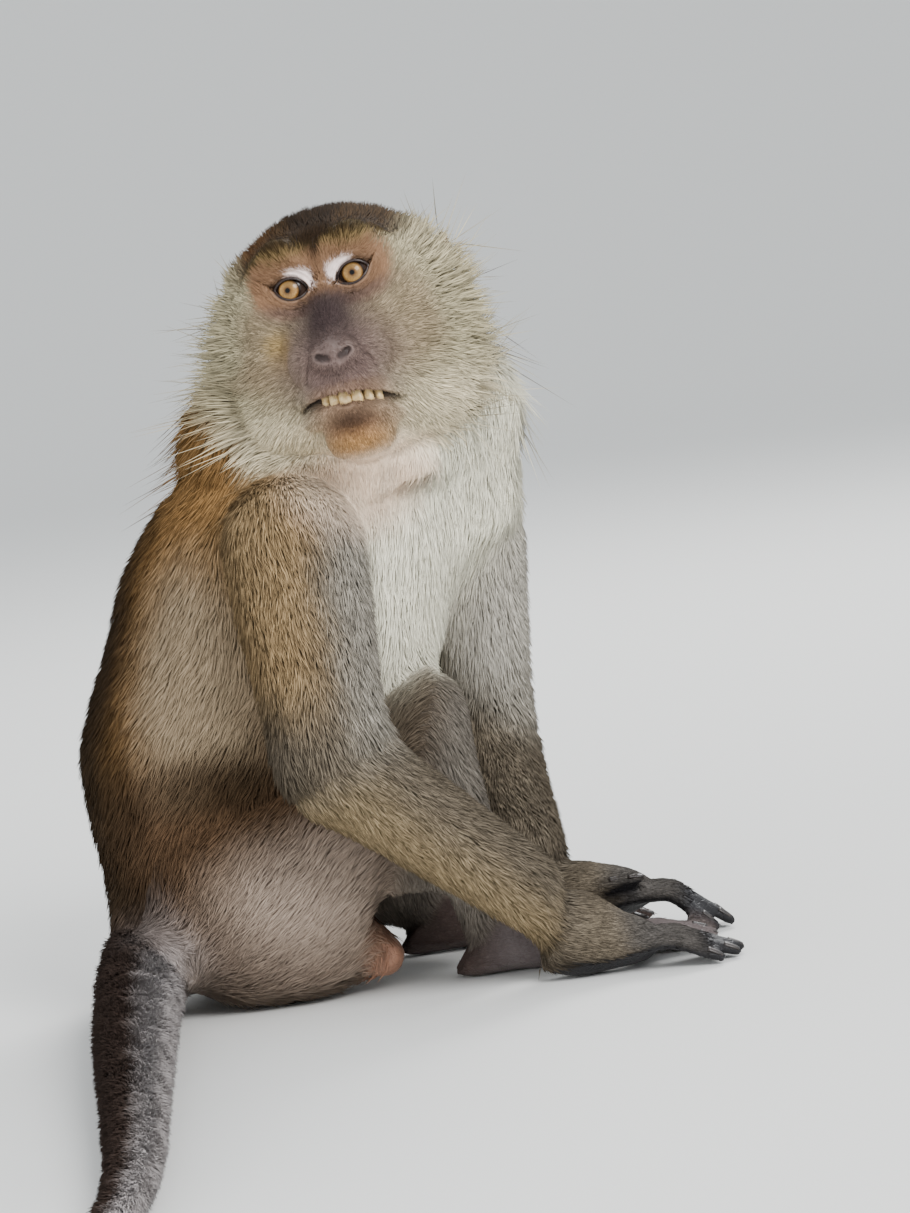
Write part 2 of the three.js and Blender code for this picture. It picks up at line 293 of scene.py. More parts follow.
copies = []
for name in FLESH:
    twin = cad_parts[name].copy()
    twin.data = twin.data.copy()
    twin.parent = None
    bpy.context.scene.collection.objects.link(twin)
    for key in list(twin.keys()):
        del twin[key]
    twin.hide_render = False
    only(twin)
    with edit_mode("SELECT"):
        bpy.ops.mesh.remove_doubles(threshold=0.01 * MM)
    swelling = OVERLAP["paws" if kind(name) in FINE else "rest"]
    apply_modifier(twin, "DISPLACE", strength=swelling * MM, mid_level=0)
    copies.append(twin)
skin = join(copies, "skin")
skin.data.materials.clear()
apply_modifier(skin, "REMESH", mode="VOXEL", voxel_size=VOXEL * MM)


def keep_largest_shell(obj):
    mesh = bmesh.new()
    mesh.from_mesh(obj.data)
    mesh.verts.ensure_lookup_table()
    shells, seen = [], set()
    for first in mesh.verts:
        if first.index in seen:
            continue
        shell, edge_front = [], [first]
        seen.add(first.index)
        while edge_front:
            v = edge_front.pop()
            shell.append(v)
            for e in v.link_edges:
                other = e.other_vert(v)
                if other.index not in seen:
                    seen.add(other.index)
                    edge_front.append(other)
        shells.append(shell)
    shells.sort(key=len, reverse=True)
    for shell in shells[1:]:
        bmesh.ops.delete(mesh, geom=shell, context="VERTS")
    mesh.to_mesh(obj.data)
    mesh.free()
    return [len(shell) for shell in shells]


print("shells:", keep_largest_shell(skin)[:6])
print("body skin:", len(skin.data.vertices), "vertices")

# %% Which node each vertex belongs to
NODE_ORDER = sorted(FLESH)


def nearest_solid(points):
    """For each point, the number of the nearest node and how far away its surface is, in mm."""
    corners, faces, owner = [], [], []
    for index, name in enumerate(NODE_ORDER):
        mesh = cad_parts[name].data
        base = len(corners)
        corners += [v.co.copy() for v in mesh.vertices]
        faces += [[base + i for i in p.vertices] for p in mesh.polygons]
        owner += [index] * len(mesh.polygons)
    tree = BVHTree.FromPolygons(corners, faces)
    found = [tree.find_nearest(Vector(p * MM)) for p in points]
    return np.array([owner[f[2]] for f in found]), np.array([f[3] for f in found]) / MM


def belonging(obj, rounds):
    """A share of each node for each vertex, softened over the joints between them."""
    owner, _ = nearest_solid(points_of(obj))
    shares = np.zeros((len(owner), len(NODE_ORDER)))
    shares[np.arange(len(owner)), owner] = 1
    return spread(shares, edges_of(obj), rounds)


COAT_DEPTH = {
    "trunk": 5.5, "neck": 8, "head": 17, "ear": 0.5, "upper_arm": 5, "forearm": 4, "hand": 0.4,
    "thigh": 5, "shin": 4, "foot": 0.4, "tail_base": 5, "tail_middle": 4.5, "tail_tip": 3,
}


def blend(shares, value_of):
    """Mixes what each kind of node has, by the share that a vertex has in it."""
    return shares @ np.array([value_of(kind(n)) for n in NODE_ORDER])


# %% Sink the skin below the coat
SINKINGS = 4
shares = belonging(skin, 14)
paws = blend(shares, lambda part: float(part in FINE))
depth = blend(shares, COAT_DEPTH.get)
depth += OVERLAP["paws"] * paws + OVERLAP["rest"] * (1 - paws)
points = points_of(skin)
edges = edges_of(skin)
soft = (1 - 0.85 * paws)[:, None]
for step in range(SINKINGS + 1):
    points += (spread(points, edges, 12 if step == 0 else 6) - points) * soft
    move_points(skin, points)
    if step < SINKINGS:
        outward = unit(spread(normals_of(skin), edges, 5))
        points = points - outward * (depth / SINKINGS)[:, None]
print("depth from", round(depth.min(), 1), "to", round(depth.max(), 1), "mm")

# %% [markdown]
# ## The head
# The head gets the most care, so it is its own fine form. It is described the way a sculptor builds
# one up: eggs and tapered bars of flesh, softly run together, from which hollows, nostrils and the
# mouth are carved. All of it is in the head's own millimetres: x forward, y to the animal's left, z
# up. A ball of fine rings, closest together at the face, is then drawn out until each vertex
# lies on that form.

# %% The head's own frame
EYE_IN_HEAD = np.array([39.0, 15.5, 8.0])
EYE_RADIUS = 9.5
HEAD_ROLL, HEAD_NOD, HEAD_HEADING = (math.radians(a) for a in (8, -6, -95.5))

turn = Matrix.Rotation(HEAD_HEADING, 3, "Z") @ Matrix.Rotation(HEAD_NOD, 3, "Y")
turn = np.array(turn @ Matrix.Rotation(HEAD_ROLL, 3, "X"))
eyes_found = [np.mean([np.array(c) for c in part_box(f"eye_{s}")], axis=0) for s in ("right", "left")]
eye_mid = np.mean(eyes_found, axis=0)
skull_centre = eye_mid / MM - turn @ (EYE_IN_HEAD * (1, 0, 1))


def to_head(points):
    return (points - skull_centre) @ turn


def from_head(points):
    return points @ turn.T + skull_centre


print("skull centre", np.round(skull_centre, 1))


# %% Shapes of flesh
def egg(p, centre, radii):
    q = (p - np.array(centre)) / np.array(radii)
    outward = np.linalg.norm(q, axis=-1)
    slope = np.linalg.norm(q / np.array(radii), axis=-1) + 1e-9
    return outward * (outward - 1) / slope


def bar(p, a, b, start_radius, end_radius):
    a, b = np.array(a, float), np.array(b, float)
    way = b - a
    t = np.clip((p - a) @ way / (way @ way), 0, 1)
    from_axis = np.linalg.norm(p - a - t[:, None] * way, axis=-1)
    return from_axis - start_radius - (end_radius - start_radius) * t


def meet(a, b, softness):
    overlap = np.maximum(softness - np.abs(a - b), 0) / softness
    return np.minimum(a, b) - overlap * overlap * softness / 4


def carve(flesh, tool, softness):
    return -meet(-flesh, tool, softness)


# %% The opening between the lids
LID = {"half_width": 8.4, "upper": 5.5, "lower": 4.9, "tilt": math.radians(12)}


def eye_plane(p, side):
    """Sideways (away from the nose) and upward from the pupil, turned with the corners of the lids."""
    across = side * p[:, 1] - EYE_IN_HEAD[1]
    above = p[:, 2] - EYE_IN_HEAD[2]
    c, s = math.cos(LID["tilt"]), math.sin(LID["tilt"])
    return across * c + above * s, above * c - across * s


def lid_gap(p, side):
    """Distance outside the almond between the lids, negative within it."""
    across, above = eye_plane(p, side)
    arcs = []
    for height, direction in ((LID["upper"], 1), (LID["lower"], -1)):
        radius = (LID["half_width"] ** 2 + height**2) / (2 * height)
        arcs.append(np.hypot(across, above - direction * (height - radius)) - radius)
    return np.maximum(*arcs)


# %% The form of the head
MOUTH = {
    "height": -52.0, "slope": 0.13, "fall": 0.36, "front": 79.0, "round": 0.034,
    "half_width": 22.0, "gape": 7.2, "depth": 8.0,
}


def mouth_front(y):
    return MOUTH["front"] - MOUTH["round"] * y**2 - 0.00001 * y**4


def mouth_height(y):
    return MOUTH["height"] - MOUTH["slope"] * y - 0.004 * y**2


def mouth_line(p):
    """How far above the line between the lips a point is."""
    return p[:, 2] - mouth_height(p[:, 1]) + MOUTH["fall"] * (p[:, 0] - mouth_front(p[:, 1]))


def lip_points(height, back):
    ys = np.linspace(-MOUTH["half_width"], MOUTH["half_width"], 9)
    return [(mouth_front(y) - back, y, mouth_height(y) + height) for y in ys]


def head_form(p):
    form = egg(p, (-5, 0, 3), (50, 50, 43))
    form = meet(form, bar(p, (35, -20, 21), (35, 20, 21), 11, 11), 14)
    form = meet(form, bar(p, (40, 0, 4), (79, 0, -27), 7.5, 7), 14)
    form = meet(form, bar(p, (38, 0, -36), (60, 0, -41), 25, 20), 14)
    form = meet(form, bar(p, (20, 0, -60), (57, 0, -64), 23, 15), 14)
    for s in (-1, 1):
        form = meet(form, egg(p, (26, s * 30, -13), (24, 17, 27)), 22)
        form = meet(form, egg(p, (16, s * 33, -46), (31, 20, 27)), 22)
        form = meet(form, egg(p, (-6, s * 34, -16), (26, 24, 38)), 14)
        form = carve(form, egg(p, (57, s * 16, 7), (13, 10.5, 9)), 7)
    for s in (-1, 1):
        form = meet(form, bar(p, (41, s * 6, 21), (41.5, s * 17, 24), 5.5, 6), 8)
        form = meet(form, bar(p, (41.5, s * 17, 24), (34, s * 29, 17), 6, 5.5), 8)
        form = meet(form, bar(p, (37, s * 30, 3), (42, s * 20, -9), 6, 6), 8)
        form = meet(form, egg(p, EYE_IN_HEAD * (1, s, 1), (11, 11, 11)), 5)
        form = meet(form, egg(p, (80.5, s * 6.2, -30), (6.5, 5.6, 5.6)), 3)
        form = meet(form, bar(p, (56, s * 12, -18), (66, s * 15, -30), 8, 8), 10)
    form = meet(form, bar(p, (84.5, 0, -27), (84, 0, -35), 3.2, 2.6), 3)
    for place, radii in (((20, -9, -88), (13, 15, 11)), ((15, 17, -86), (12, 14, 10))):
        form = meet(form, egg(p, place, radii), 6)
    upper, lower = lip_points(4.8, 3.6), lip_points(-6.0, 4.8)
    for row, size in ((upper, 3.6), (lower, 3.8)):
        for a, b in zip(row, row[1:]):
            form = meet(form, bar(p, a, b, size, size), 3)
    form = meet(form, egg(p, (60, 0, -69), (15, 15, 9)), 8)
    return form


def nostril(p, side):
    return bar(p, (87.5, side * 4.0, -32.2), (86.0, side * 7.4, -30.2), 2.1, 1.5)


def head_details(p, form):
    for s in (-1, 1):
        form = carve(form, nostril(p, s), 1.2)
        form = carve(form, bar(p, (79, s * 11.5, -27), (73, s * 16, -38), 0.1, 0.1), 3)
    form = carve(form, bar(p, (86, 0, -37), (83, 0, -44), 0.5, 0.5), 2.6)
    gape = MOUTH["gape"] * np.clip(1 - (p[:, 1] / MOUTH["half_width"]) ** 2, 0, 1) ** 0.8
    line = np.abs(mouth_line(p)) - gape / 2
    depth = mouth_front(p[:, 1]) - MOUTH["depth"] - p[:, 0]
    corner = np.abs(p[:, 1]) - MOUTH["half_width"]
    slit = np.maximum(np.maximum(line, depth), corner)
    form = carve(form, slit, 1.0)
    for s in (-1, 1):
        ahead = p[:, 0] > EYE_IN_HEAD[0] - 2
        gap = lid_gap(p, s)
        inside_ball = np.linalg.norm(p - EYE_IN_HEAD * (1, s, 1), axis=1) - (EYE_RADIUS - 1.2)
        opening = np.where(ahead, np.maximum(gap, -inside_ball), 5.0)
        form = carve(form, opening, 0.5)
        fold = 0.38 * np.cos(2 * np.pi * gap / 2.7) * np.exp(-(((gap - 3.8) / 2.6) ** 2))
        form = form + np.where(ahead & (np.abs(gap) < 12), fold, 0)
    return form


# %% Draw a ball of rings out to the form
RINGS, SEGMENTS = 150, 232
HEAD_MIDDLE = np.array([14.0, 0, -22])
CORE = np.array([0, 15.0, 34])

bpy.ops.mesh.primitive_uv_sphere_add(segments=SEGMENTS, ring_count=RINGS, radius=1)
head = bpy.context.object
head.name = "head_skin"
ball = points_of(head) * MM
polar = np.arccos(np.clip(ball[:, 2], -1, 1)) / np.pi
near_face = np.pi * (0.42 * polar + 0.58 * polar**3)
around = np.arctan2(ball[:, 1], ball[:, 0])
directions = np.stack(
    [np.cos(near_face), np.sin(near_face) * np.sin(around), np.sin(near_face) * np.cos(around)], axis=1
)
move_points(head, directions / MM)


def select_faces(obj, wanted):
    """Goes to edit mode with exactly these faces selected."""
    only(obj)
    mesh = obj.data
    corners = np.zeros(len(mesh.vertices), bool)
    for index in np.flatnonzero(wanted):
        corners[list(mesh.polygons[index].vertices)] = True
    mesh.vertices.foreach_set("select", corners)
    mesh.edges.foreach_set("select", np.zeros(len(mesh.edges), bool))
    mesh.polygons.foreach_set("select", np.asarray(wanted, bool))
    bpy.ops.object.mode_set(mode="EDIT")
    bpy.ops.mesh.select_mode(type="VERT")
    bpy.ops.mesh.select_mode(type="FACE")


for s in (-1, 1):
    eye_way = unit(EYE_IN_HEAD * (1, s, 1) - HEAD_MIDDLE - CORE * (0, s * 0.3, 0.5))
    centres = np.array([f.center for f in head.data.polygons])
    select_faces(head, unit(centres) @ eye_way > math.cos(math.radians(15)))
    bpy.ops.mesh.subdivide(number_cuts=1)
    bpy.ops.object.mode_set(mode="OBJECT")
directions = unit(points_of(head))


def draw_out(directions):
    start = HEAD_MIDDLE + directions * CORE
    low = np.zeros(len(directions))
    high = np.full(len(directions), 12.0)
    moving = np.ones(len(directions), bool)
    for _ in range(60):
        p = start[moving] + directions[moving] * high[moving][:, None]
        height = head_details(p, head_form(p))
        still = height < 0
        index = np.flatnonzero(moving)
        low[index[still]] = high[index[still]]
        high[index[still]] += np.maximum(0.5, -0.8 * height[still])
        moving[index[~still]] = False
        if not moving.any():
            break
    for _ in range(7):
        middle = (low + high) / 2
        p = start + directions * middle[:, None]
        inside = head_details(p, head_form(p)) < 0
        low, high = np.where(inside, middle, low), np.where(inside, high, middle)
    return start + directions * low[:, None]


head_local = draw_out(directions)
move_points(head, from_head(head_local))
only(head)
with edit_mode("SELECT"):
    bpy.ops.mesh.normals_make_consistent(inside=False)
print("head:", len(head.data.vertices), "vertices")

# %% [markdown]
# ## One skin
# The head and the body are joined by a Boolean union, so that the skin is one closed surface with no
# seam. The body's own coarse head lies inside the fine one and disappears in the union. The crease
# at the neck is then smoothed, and the skin is unwrapped for baking.

# %% Join head and body
only(head)
with edit_mode("SELECT"):
    bpy.ops.mesh.quads_convert_to_tris()
apply_modifier(skin, "BOOLEAN", operation="UNION", object=head, solver="MANIFOLD")
bpy.data.objects.remove(head)
print("one skin:", len(skin.data.polygons), "faces")

edges = edges_of(skin)
points = points_of(skin)
local = to_head(points)
form_height = head_form(local)
near_crease = (np.abs(form_height) < 2.5) & (local[:, 0] < 34) & (local[:, 2] < -30)
crease = spread(near_crease.astype(float), edges, 3)[:, 0]
for _ in range(3):
    points += (spread(points, edges, 4) - points) * np.clip(crease, 0, 1)[:, None]
move_points(skin, points)

only(skin)
with edit_mode("SELECT"):
    bpy.ops.mesh.quads_convert_to_tris()
    bpy.ops.uv.smart_project(angle_limit=math.radians(70), island_margin=0.002)
skin.data.uv_layers[0].name = "OFBake"
bpy.ops.object.shade_smooth()
print("skin unwrapped:", skin.data.uv_layers.keys())

# %% [markdown]
# ## Markings
# One set of markings colours both the skin and the coat. It is painted on the skin's vertices in
# layers, from the ground colour of each part of the body to smaller patches, and each patch is a soft
# egg at a named place. A few patches are painted light and shade: a dark patch of painted shade at the
# top of the haunch, dark nostrils of painted shade, and a throat lightened by painted light. Ticking
# says how strongly a hair is banded with dark and gold.

# %% Ground colours
def colour(r, g, b):
    """Linear light from the usual 0 to 255 numbers."""
    s = np.array([r, g, b]) / 255
    return np.where(s <= 0.04045, s / 12.92, ((s + 0.055) / 1.055) ** 2.4)


SHADES = {
    "back_dark": (49, 38, 26), "brown": (78, 59, 42), "rust": (81, 62, 45),
    "cape": (128, 97, 60), "shoulder": (136, 114, 83), "flank": (140, 123, 100),
    # the throat's colour: pink skin, lightened further as painted light
    "haunch_pale": (166, 149, 134), "cream": (248, 243, 219), "pink": (255, 227, 200),
    "olive": (97, 88, 75), "olive_pale": (156, 136, 102), "grey": (112, 107, 99),
    "pale_arm": (182, 176, 164), "crown": (56, 42, 27), "crown_rust": (80, 55, 33),
    "stripe": (40, 30, 21), "cheek": (157, 147, 119), "cheek_brown": (127, 111, 89),
    "jowl": (211, 197, 166), "ochre": (151, 124, 70), "brow": (100, 86, 54),
    "muzzle": (117, 98, 92), "bridge": (64, 53, 52), "orbit": (130, 100, 76),
    "under_eye": (98, 80, 71), "forehead": (76, 63, 42), "lip_fur": (132, 105, 86),
    "lid": (240, 220, 213), "chin": (134, 103, 79), "chin_gold": (160, 114, 54),
    "lips": (40, 30, 28), "tail_dark": (70, 58, 52), "tail_grey": (170, 163, 161),
    "hand": (29, 28, 30), "foot": (78, 66, 62), "scrotum": (146, 108, 88),
    # nostril is painted shade: the dark that a deep nostril hole would hold
    "shin": (114, 107, 98), "knee": (76, 68, 57), "nostril": (44, 34, 32),
    "sole": (114, 105, 104), "finger_fur": (84, 80, 76), "ear": (118, 90, 76),
    "rim": (26, 19, 18),
}
PELT = {name: colour(*shade) for name, shade in SHADES.items()}
GROUND = {
    "trunk": ("brown", 0.6), "neck": ("jowl", 0.4), "head": ("cheek", 0.85), "ear": ("ear", 0),
    "upper_arm": ("olive", 0.8), "forearm": ("olive", 0.9), "hand": ("hand", 0.2),
    "thigh": ("rust", 0.55), "shin": ("shin", 0.6), "foot": ("foot", 0.1),
    "tail_base": ("tail_grey", 0.35), "tail_middle": ("tail_grey", 0.35), "tail_tip": ("tail_grey", 0.35),
}


def soft_step(x, low, high):
    t = np.clip((x - low) / (high - low), 0, 1)
    return t * t * (3 - 2 * t)


def blob(p, centre, radii, edge=0.45):
    """1 inside an egg and 0 outside it, with a soft edge."""
    q = np.linalg.norm((p - np.array(centre)) / np.array(radii), axis=1)
    return 1 - soft_step(q, 1 - edge, 1 + edge)


def near_line(p, line, near, far):
    nearest = np.full(len(p), 1e9)
    for a, b in zip(line, line[1:]):
        nearest = np.minimum(nearest, bar(p, a, b, 0, 0))
    return 1 - soft_step(nearest, near, far)


# %% How much of each part
skin.data.materials.clear()
skin.data.polygons.foreach_set("material_index", np.zeros(len(skin.data.polygons), np.int32))
P, N = points_of(skin), normals_of(skin)  # place and normal of each vertex
H = to_head(P)  # place in the head's own frame
(px, py, pz), (nx, ny, nz) = P.T, N.T
skin_edges = edges_of(skin)
skin_shares = belonging(skin, 6)


def share_of(*parts):
    """How much of each vertex belongs to these parts. Under the long coat the answer runs out softly."""
    share = blend(skin_shares, lambda part: float(part in parts))
    return share if set(parts) & {"head", "ear", "hand", "foot"} else spread(share, skin_edges, 50)[:, 0]


on_head, hand, foot = (share_of(part) for part in ("head", "hand", "foot"))
trunk, thigh, neck, arm = (share_of(part) for part in ("trunk", "thigh", "neck", "upper_arm"))
haunch = share_of("trunk", "thigh")
tail = share_of("tail_base", "tail_middle", "tail_tip")
off_head = 1 - on_head
pelt = blend(skin_shares, lambda part: PELT[GROUND[part][0]])
ticking = blend(skin_shares, lambda part: GROUND[part][1])
furry = (1 - share_of("hand", "foot", "head", "ear"))[:, None]
for values in (pelt, ticking):
    softer = spread(values, skin_edges, 60).reshape(values.shape)
    values += (softer - values) * (furry if values.ndim == 2 else furry[:, 0])
print("ground colours:", len(GROUND), "parts")


# %% Paint the body
def paint(name, mask, tick=None):
    global pelt, ticking
    mask = np.clip(mask, 0, 1)
    pelt = pelt + (PELT[name] - pelt) * mask[:, None]
    if tick is not None:
        ticking = ticking + (tick - ticking) * mask


def within(*ramps):
    """The product of soft steps, each given as values, where it begins and where it is full."""
    return math.prod(soft_step(*ramp) for ramp in ramps)


SPINE = [(-60, 240, 345), (-110, 240, 270), (-150, 240, 190), (-163, 236, 110), (-150, 225, 30)]
SCROTUM = [(-34, 205, 26), (-16, 191, 18)]
left_side = soft_step(ny, 0.1, 0.8) * share_of("trunk", "neck")
right_forearm = share_of("forearm") * soft_step(230 - py, 0, 30)
front = within((px, -18, 14), (nx, -0.8, -0.1)) * trunk

paint("cape", near_line(P, SPINE[:3], 50, 105) * off_head, 0.8)
paint("cape", blob(P, (-66, 175, 262), (58, 76, 50)) * off_head, 0.8)
paint("shoulder", arm * within((-px, 6, 40), (pz, 140, 185)), 0.9)
paint("pale_arm", arm * within((px, -40, 6), (nx, -0.2, 1.0)) * 0.6, 0.6)
for flank_y in (168, 312):
    paint("flank", blob(P, (-86, flank_y, 178), (40, 44, 62)) * trunk, 0.25)
paint("back_dark", near_line(P, SPINE[2:], 22, 74) * haunch, 0.5)
paint("back_dark", near_line(P, SPINE[1:3], 10, 58) * trunk, 0.6)
paint("rust", blob(P, (-98, 165, 102), (56, 60, 32)) * haunch, 0.5)
for haunch_y in (148, 327):
    paint("haunch_pale", blob(P, (-46, haunch_y, 46), (50, 38, 34), 0.7) * haunch, 0.15)
paint("knee", thigh * within((px, -24, 4), (pz, 84, 104)), 0.6)
paint("back_dark", blob(P, (-138, 196, 118), (20, 36, 34), 0.7) * haunch * 0.6, 0.4)
# Painted shade: this dark patch at the top of the haunch, under the arm, stands in for the deep shade that
# falls there.
paint("back_dark", blob(P, (-80, 165, 124), (34, 30, 15), 0.7) * haunch * 0.8, 0.4)
paint("haunch_pale", soft_step(-nz, 0.2, 0.8) * haunch * 0.7, 0.1)
paint("haunch_pale", blob(P, (-30, 150, 66), (28, 26, 22), 0.7) * thigh * 0.6, 0.2)
paint("flank", blob(P, (-104, 171, 122), (18, 24, 12), 0.7) * 0.12, 0.3)
paint("grey", front * soft_step(150 - pz, 0, 60), 0.3)
paint("cream", front * soft_step(pz, 96, 150), 0.03)
paint("cream", blob(P, (46, 200, 240), (56, 66, 56)) * off_head * (1 - arm), 0.03)
paint("cape", soft_step(-nx, 0.0, 0.6) * neck, 0.8)
paint("cream", within((nx, -0.2, 0.6), (px, 0, 26)) * neck, 0.08)
paint("jowl", blob(P, (4, 140, 267), (28, 22, 15), 0.6) * off_head * 0.7, 0.4)
paint("cream", blob(P, (62, 258, 204), (34, 40, 40)) * arm * 0.35, 0.2)
paint("olive", left_side * within((px, -30, 10), (pz, 80, 140)) * 0.7, 0.8)
paint("shoulder", left_side * soft_step(pz, 180, 240) * 0.9, 0.9)
paint("pale_arm", blob(P, (64, 262, 186), (34, 40, 56)) * arm, 0.3)
paint("olive_pale", soft_step(-nz, -0.3, 0.9) * right_forearm * 0.75, 0.9)
paint("scrotum", near_line(P, SCROTUM, 18, 26) * trunk, 0)
paint("brown", tail * blob(P, bones["trunk"][1], (32, 32, 32)), 0.4)
paint("tail_dark", soft_step(N @ np.array([-0.8, 0, 0.6]), 0.05, 0.75) * tail, 0.3)


# %% Paint the paws
def beyond_joint(name):
    """How far each vertex lies past the wrist or ankle, along the paw."""
    reach = np.zeros(len(P))
    for side in ("right", "left"):
        start, end = bones[f"{name}_{side}"]
        mine = skin_shares[:, NODE_ORDER.index(f"{name}_{side}")] > 0.5
        reach[mine] = (P[mine] - start) @ (unit((end - start) * (1, 1, 0)))
    return reach


hand_reach = beyond_joint("hand")
hairy_hand = hand * (1 - soft_step(hand_reach, 30, 52)) * soft_step(nz, -0.6, -0.1)
fingers = hand * soft_step(hand_reach, 24, 46) * (1 - soft_step(hand_reach, 66, 80))
fingers = fingers * soft_step(nz, -0.5, 0.3)
paint("olive", hairy_hand, 0.9)
paint("finger_fur", fingers * 0.8, 0.8)
# The right foot is painted paler grey towards its toes.
paint("sole", skin_shares[:, NODE_ORDER.index("foot_right")] * soft_step(px, 26, 50) * 0.85)
print("hands reach", round(hand_reach.max()), "mm past the wrist")

# %% Paint the head
def paint_head(name, mask, tick=None):
    paint(name, mask * on_head, tick)


def paint_blobs(*blobs):
    for name, centre, radii, edge, strength, tick in blobs:
        paint_head(name, blob(H, centre, radii, edge) * strength, tick)


x, y, z = H.T
upright = np.abs(y)
gaps = np.minimum(lid_gap(H, -1), lid_gap(H, 1)) + 20 * (x < EYE_IN_HEAD[0] - 6)
above_brow, near_middle = np.maximum(z - 12, 0), 3.0 - upright
paint_head("jowl", soft_step(-z, 34, 62) * 0.9, 0.6)
paint_blobs(
    ("cheek_brown", (56, 30, -18), (26, 22, 26), 0.45, 0.8, 0.7),
    ("cheek_brown", (56, -30, -18), (26, 22, 26), 0.45, 0.8, 0.7),
)
paint_head("brown", within((-x, 6, 34), (z, -62, -30)), 0.9)
paint_head("crown", within((z + 0.1 * upright + 0.05 * y, 22, 28), (62 - x, 8, 20)), 1.0)
paint_head("crown_rust", within((z, 12, 26), (-y, 14, 34), (58 - x, 8, 20)) * 0.8, 1.0)
paint_head("cheek", within((upright, 32, 48), (z, 0, 12), (42 - z, 0, 16)) * 0.8, 0.8)
forehead = within((z, 13, 20), (x, 24, 34), (y, -44, -34), (26 - y, 0, 12), (34 - z, 0, 8))
paint_head("forehead", forehead, 0.8)
paint_head("orbit", within((14 - gaps, 0, 6), (29 - z, 0, 5), (37 - upright, 0, 6)), 0.2)
paint_head("orbit", blob(H, (50, 0, 12), (14, 20, 14)) * soft_step(27 - z, 0, 6), 0.2)
paint_head("under_eye", within((17 - gaps, 0, 9), (4 - z, 0, 9), (x, 30, 40)) * 0.85, 0.4)
brow_line = 0.8 * np.exp(-(((z - 23.6) / 3.2) ** 2))
paint_head("brow", brow_line * within((x, 28, 38), (36 - upright, 0, 12)), 1.0)
paint_head("stripe", 0.8 * within((z, 22, 26), (36 - z, 0, 8), (40 - upright, 0, 20), (x, 20, 36)), 0.9)
middle_stripe = within((near_middle + 0.17 * above_brow**1.3, 0, 5), (z, 7, 20), (62 - x, 0, 8))
paint_head("stripe", 0.9 * middle_stripe, 0.5)
paint_head("ochre", blob(H, (57, -25, -21), (13, 7, 8), 0.7) * 0.75, 0.6)
paint_head("cheek_brown", near_line(H, [(54, -30, -27), (31, -53, -28), (6, -72, -28)], 2, 10) * 0.55, 0.6)
paint_blobs(
    ("muzzle", (72, 0, -34), (36, 27, 24), 0.6, 1, 0.5),
    ("lip_fur", (78, 0, -49), (14, 22, 6), 0.6, 0.6, 0.4),
    ("chin", (72, 0, -64), (24, 23, 13), 0.85, 1, 0.7),
    ("chin_gold", (66, -2, -75), (20, 19, 8), 0.85, 0.8, 0.8),
    ("lips", (80, 0, -61), (12, 12, 5), 0.7, 0.7, 0.2),
)
throat = blob(H, (36, -4, -91), (40, 40, 20), 0.45) * (1 - 0.4 * arm)
# The throat is pink skin, and its colour is also lightened as painted light, standing in for light thrown
# up from below into the shade under the chin.
paint("pink", throat * 0.9, 0)
paint_head("bridge", blob(H, (66, 0, -13), (34, 14, 20), 0.7) * soft_step(8 - z, 0, 12), 0.35)

# %% Paint the lids, lips and nostrils
white_lids = np.zeros(len(P))
for s in (-1, 1):
    across, above = eye_plane(H, s)
    white = 1 - soft_step(np.hypot((across + 4.0) / 9.4, (above - 3.6) / 6.2), 0.76, 1.1)
    white = white * soft_step(lid_gap(H, s), 0.7, 1.3) * soft_step(upright, 1.8, 3.4) * soft_step(x, 38, 42)
    paint("lid", white * 0.95, 0)
    white_lids = np.maximum(white_lids, white)
    paint("rim", (1 - soft_step(lid_gap(H, s), 0.4, 1.3)) * soft_step(x, 36, 40))
lips = np.exp(-((mouth_line(H) / 2.3) ** 2)) * soft_step(25 - upright, 0, 3) * soft_step(x, 48, 54)
nose_hole = np.minimum(nostril(H, -1), nostril(H, 1))
paint_head("lips", lips, 0)
# Painted shade: the nostrils are carved shallow, and their hollows are coloured dark so that they read as
# deep, shaded holes.
paint("nostril", 1 - soft_step(nose_hole, -0.2, 0.9), 0)
print("markings painted:", len(PELT), "colours")

# %% [markdown]
# ## The lie, length and thickness of the coat
# Hair grows away from the nose over the head, and from the shoulder down each limb, along the trunk
# and the tail. The direction is worked out from the bones and smoothed. How far the coat stands out
# is measured: it is the gap between the skin and the solid above it.

# %% Lie and length
def bone_ways():
    nowhere = (np.zeros(3), np.zeros(3))
    return np.array([unit(np.subtract(*bones.get(n, nowhere)[::-1])) for n in NODE_ORDER])


def along_surface(vectors, normals):
    return unit(vectors - np.sum(vectors * normals, axis=1, keepdims=True) * normals)


NOSE_ROOT = np.array([92.0, 0, -22])
away_from_nose = unit(H - NOSE_ROOT) @ turn.T
lie = skin_shares @ bone_ways() * off_head[:, None]
lie = lie + away_from_nose * (on_head + share_of("ear"))[:, None]
lie = along_surface(lie, N)
for _ in range(3):
    lie = along_surface(spread(lie, skin_edges, 4), N)

HAIR_LENGTH = {
    "trunk": 15, "neck": 17, "head": 12, "ear": 3, "upper_arm": 13, "forearm": 10, "hand": 4,
    "thigh": 13, "shin": 9, "foot": 3.5, "tail_base": 10, "tail_middle": 9, "tail_tip": 8,
}
_, room = nearest_solid(P)

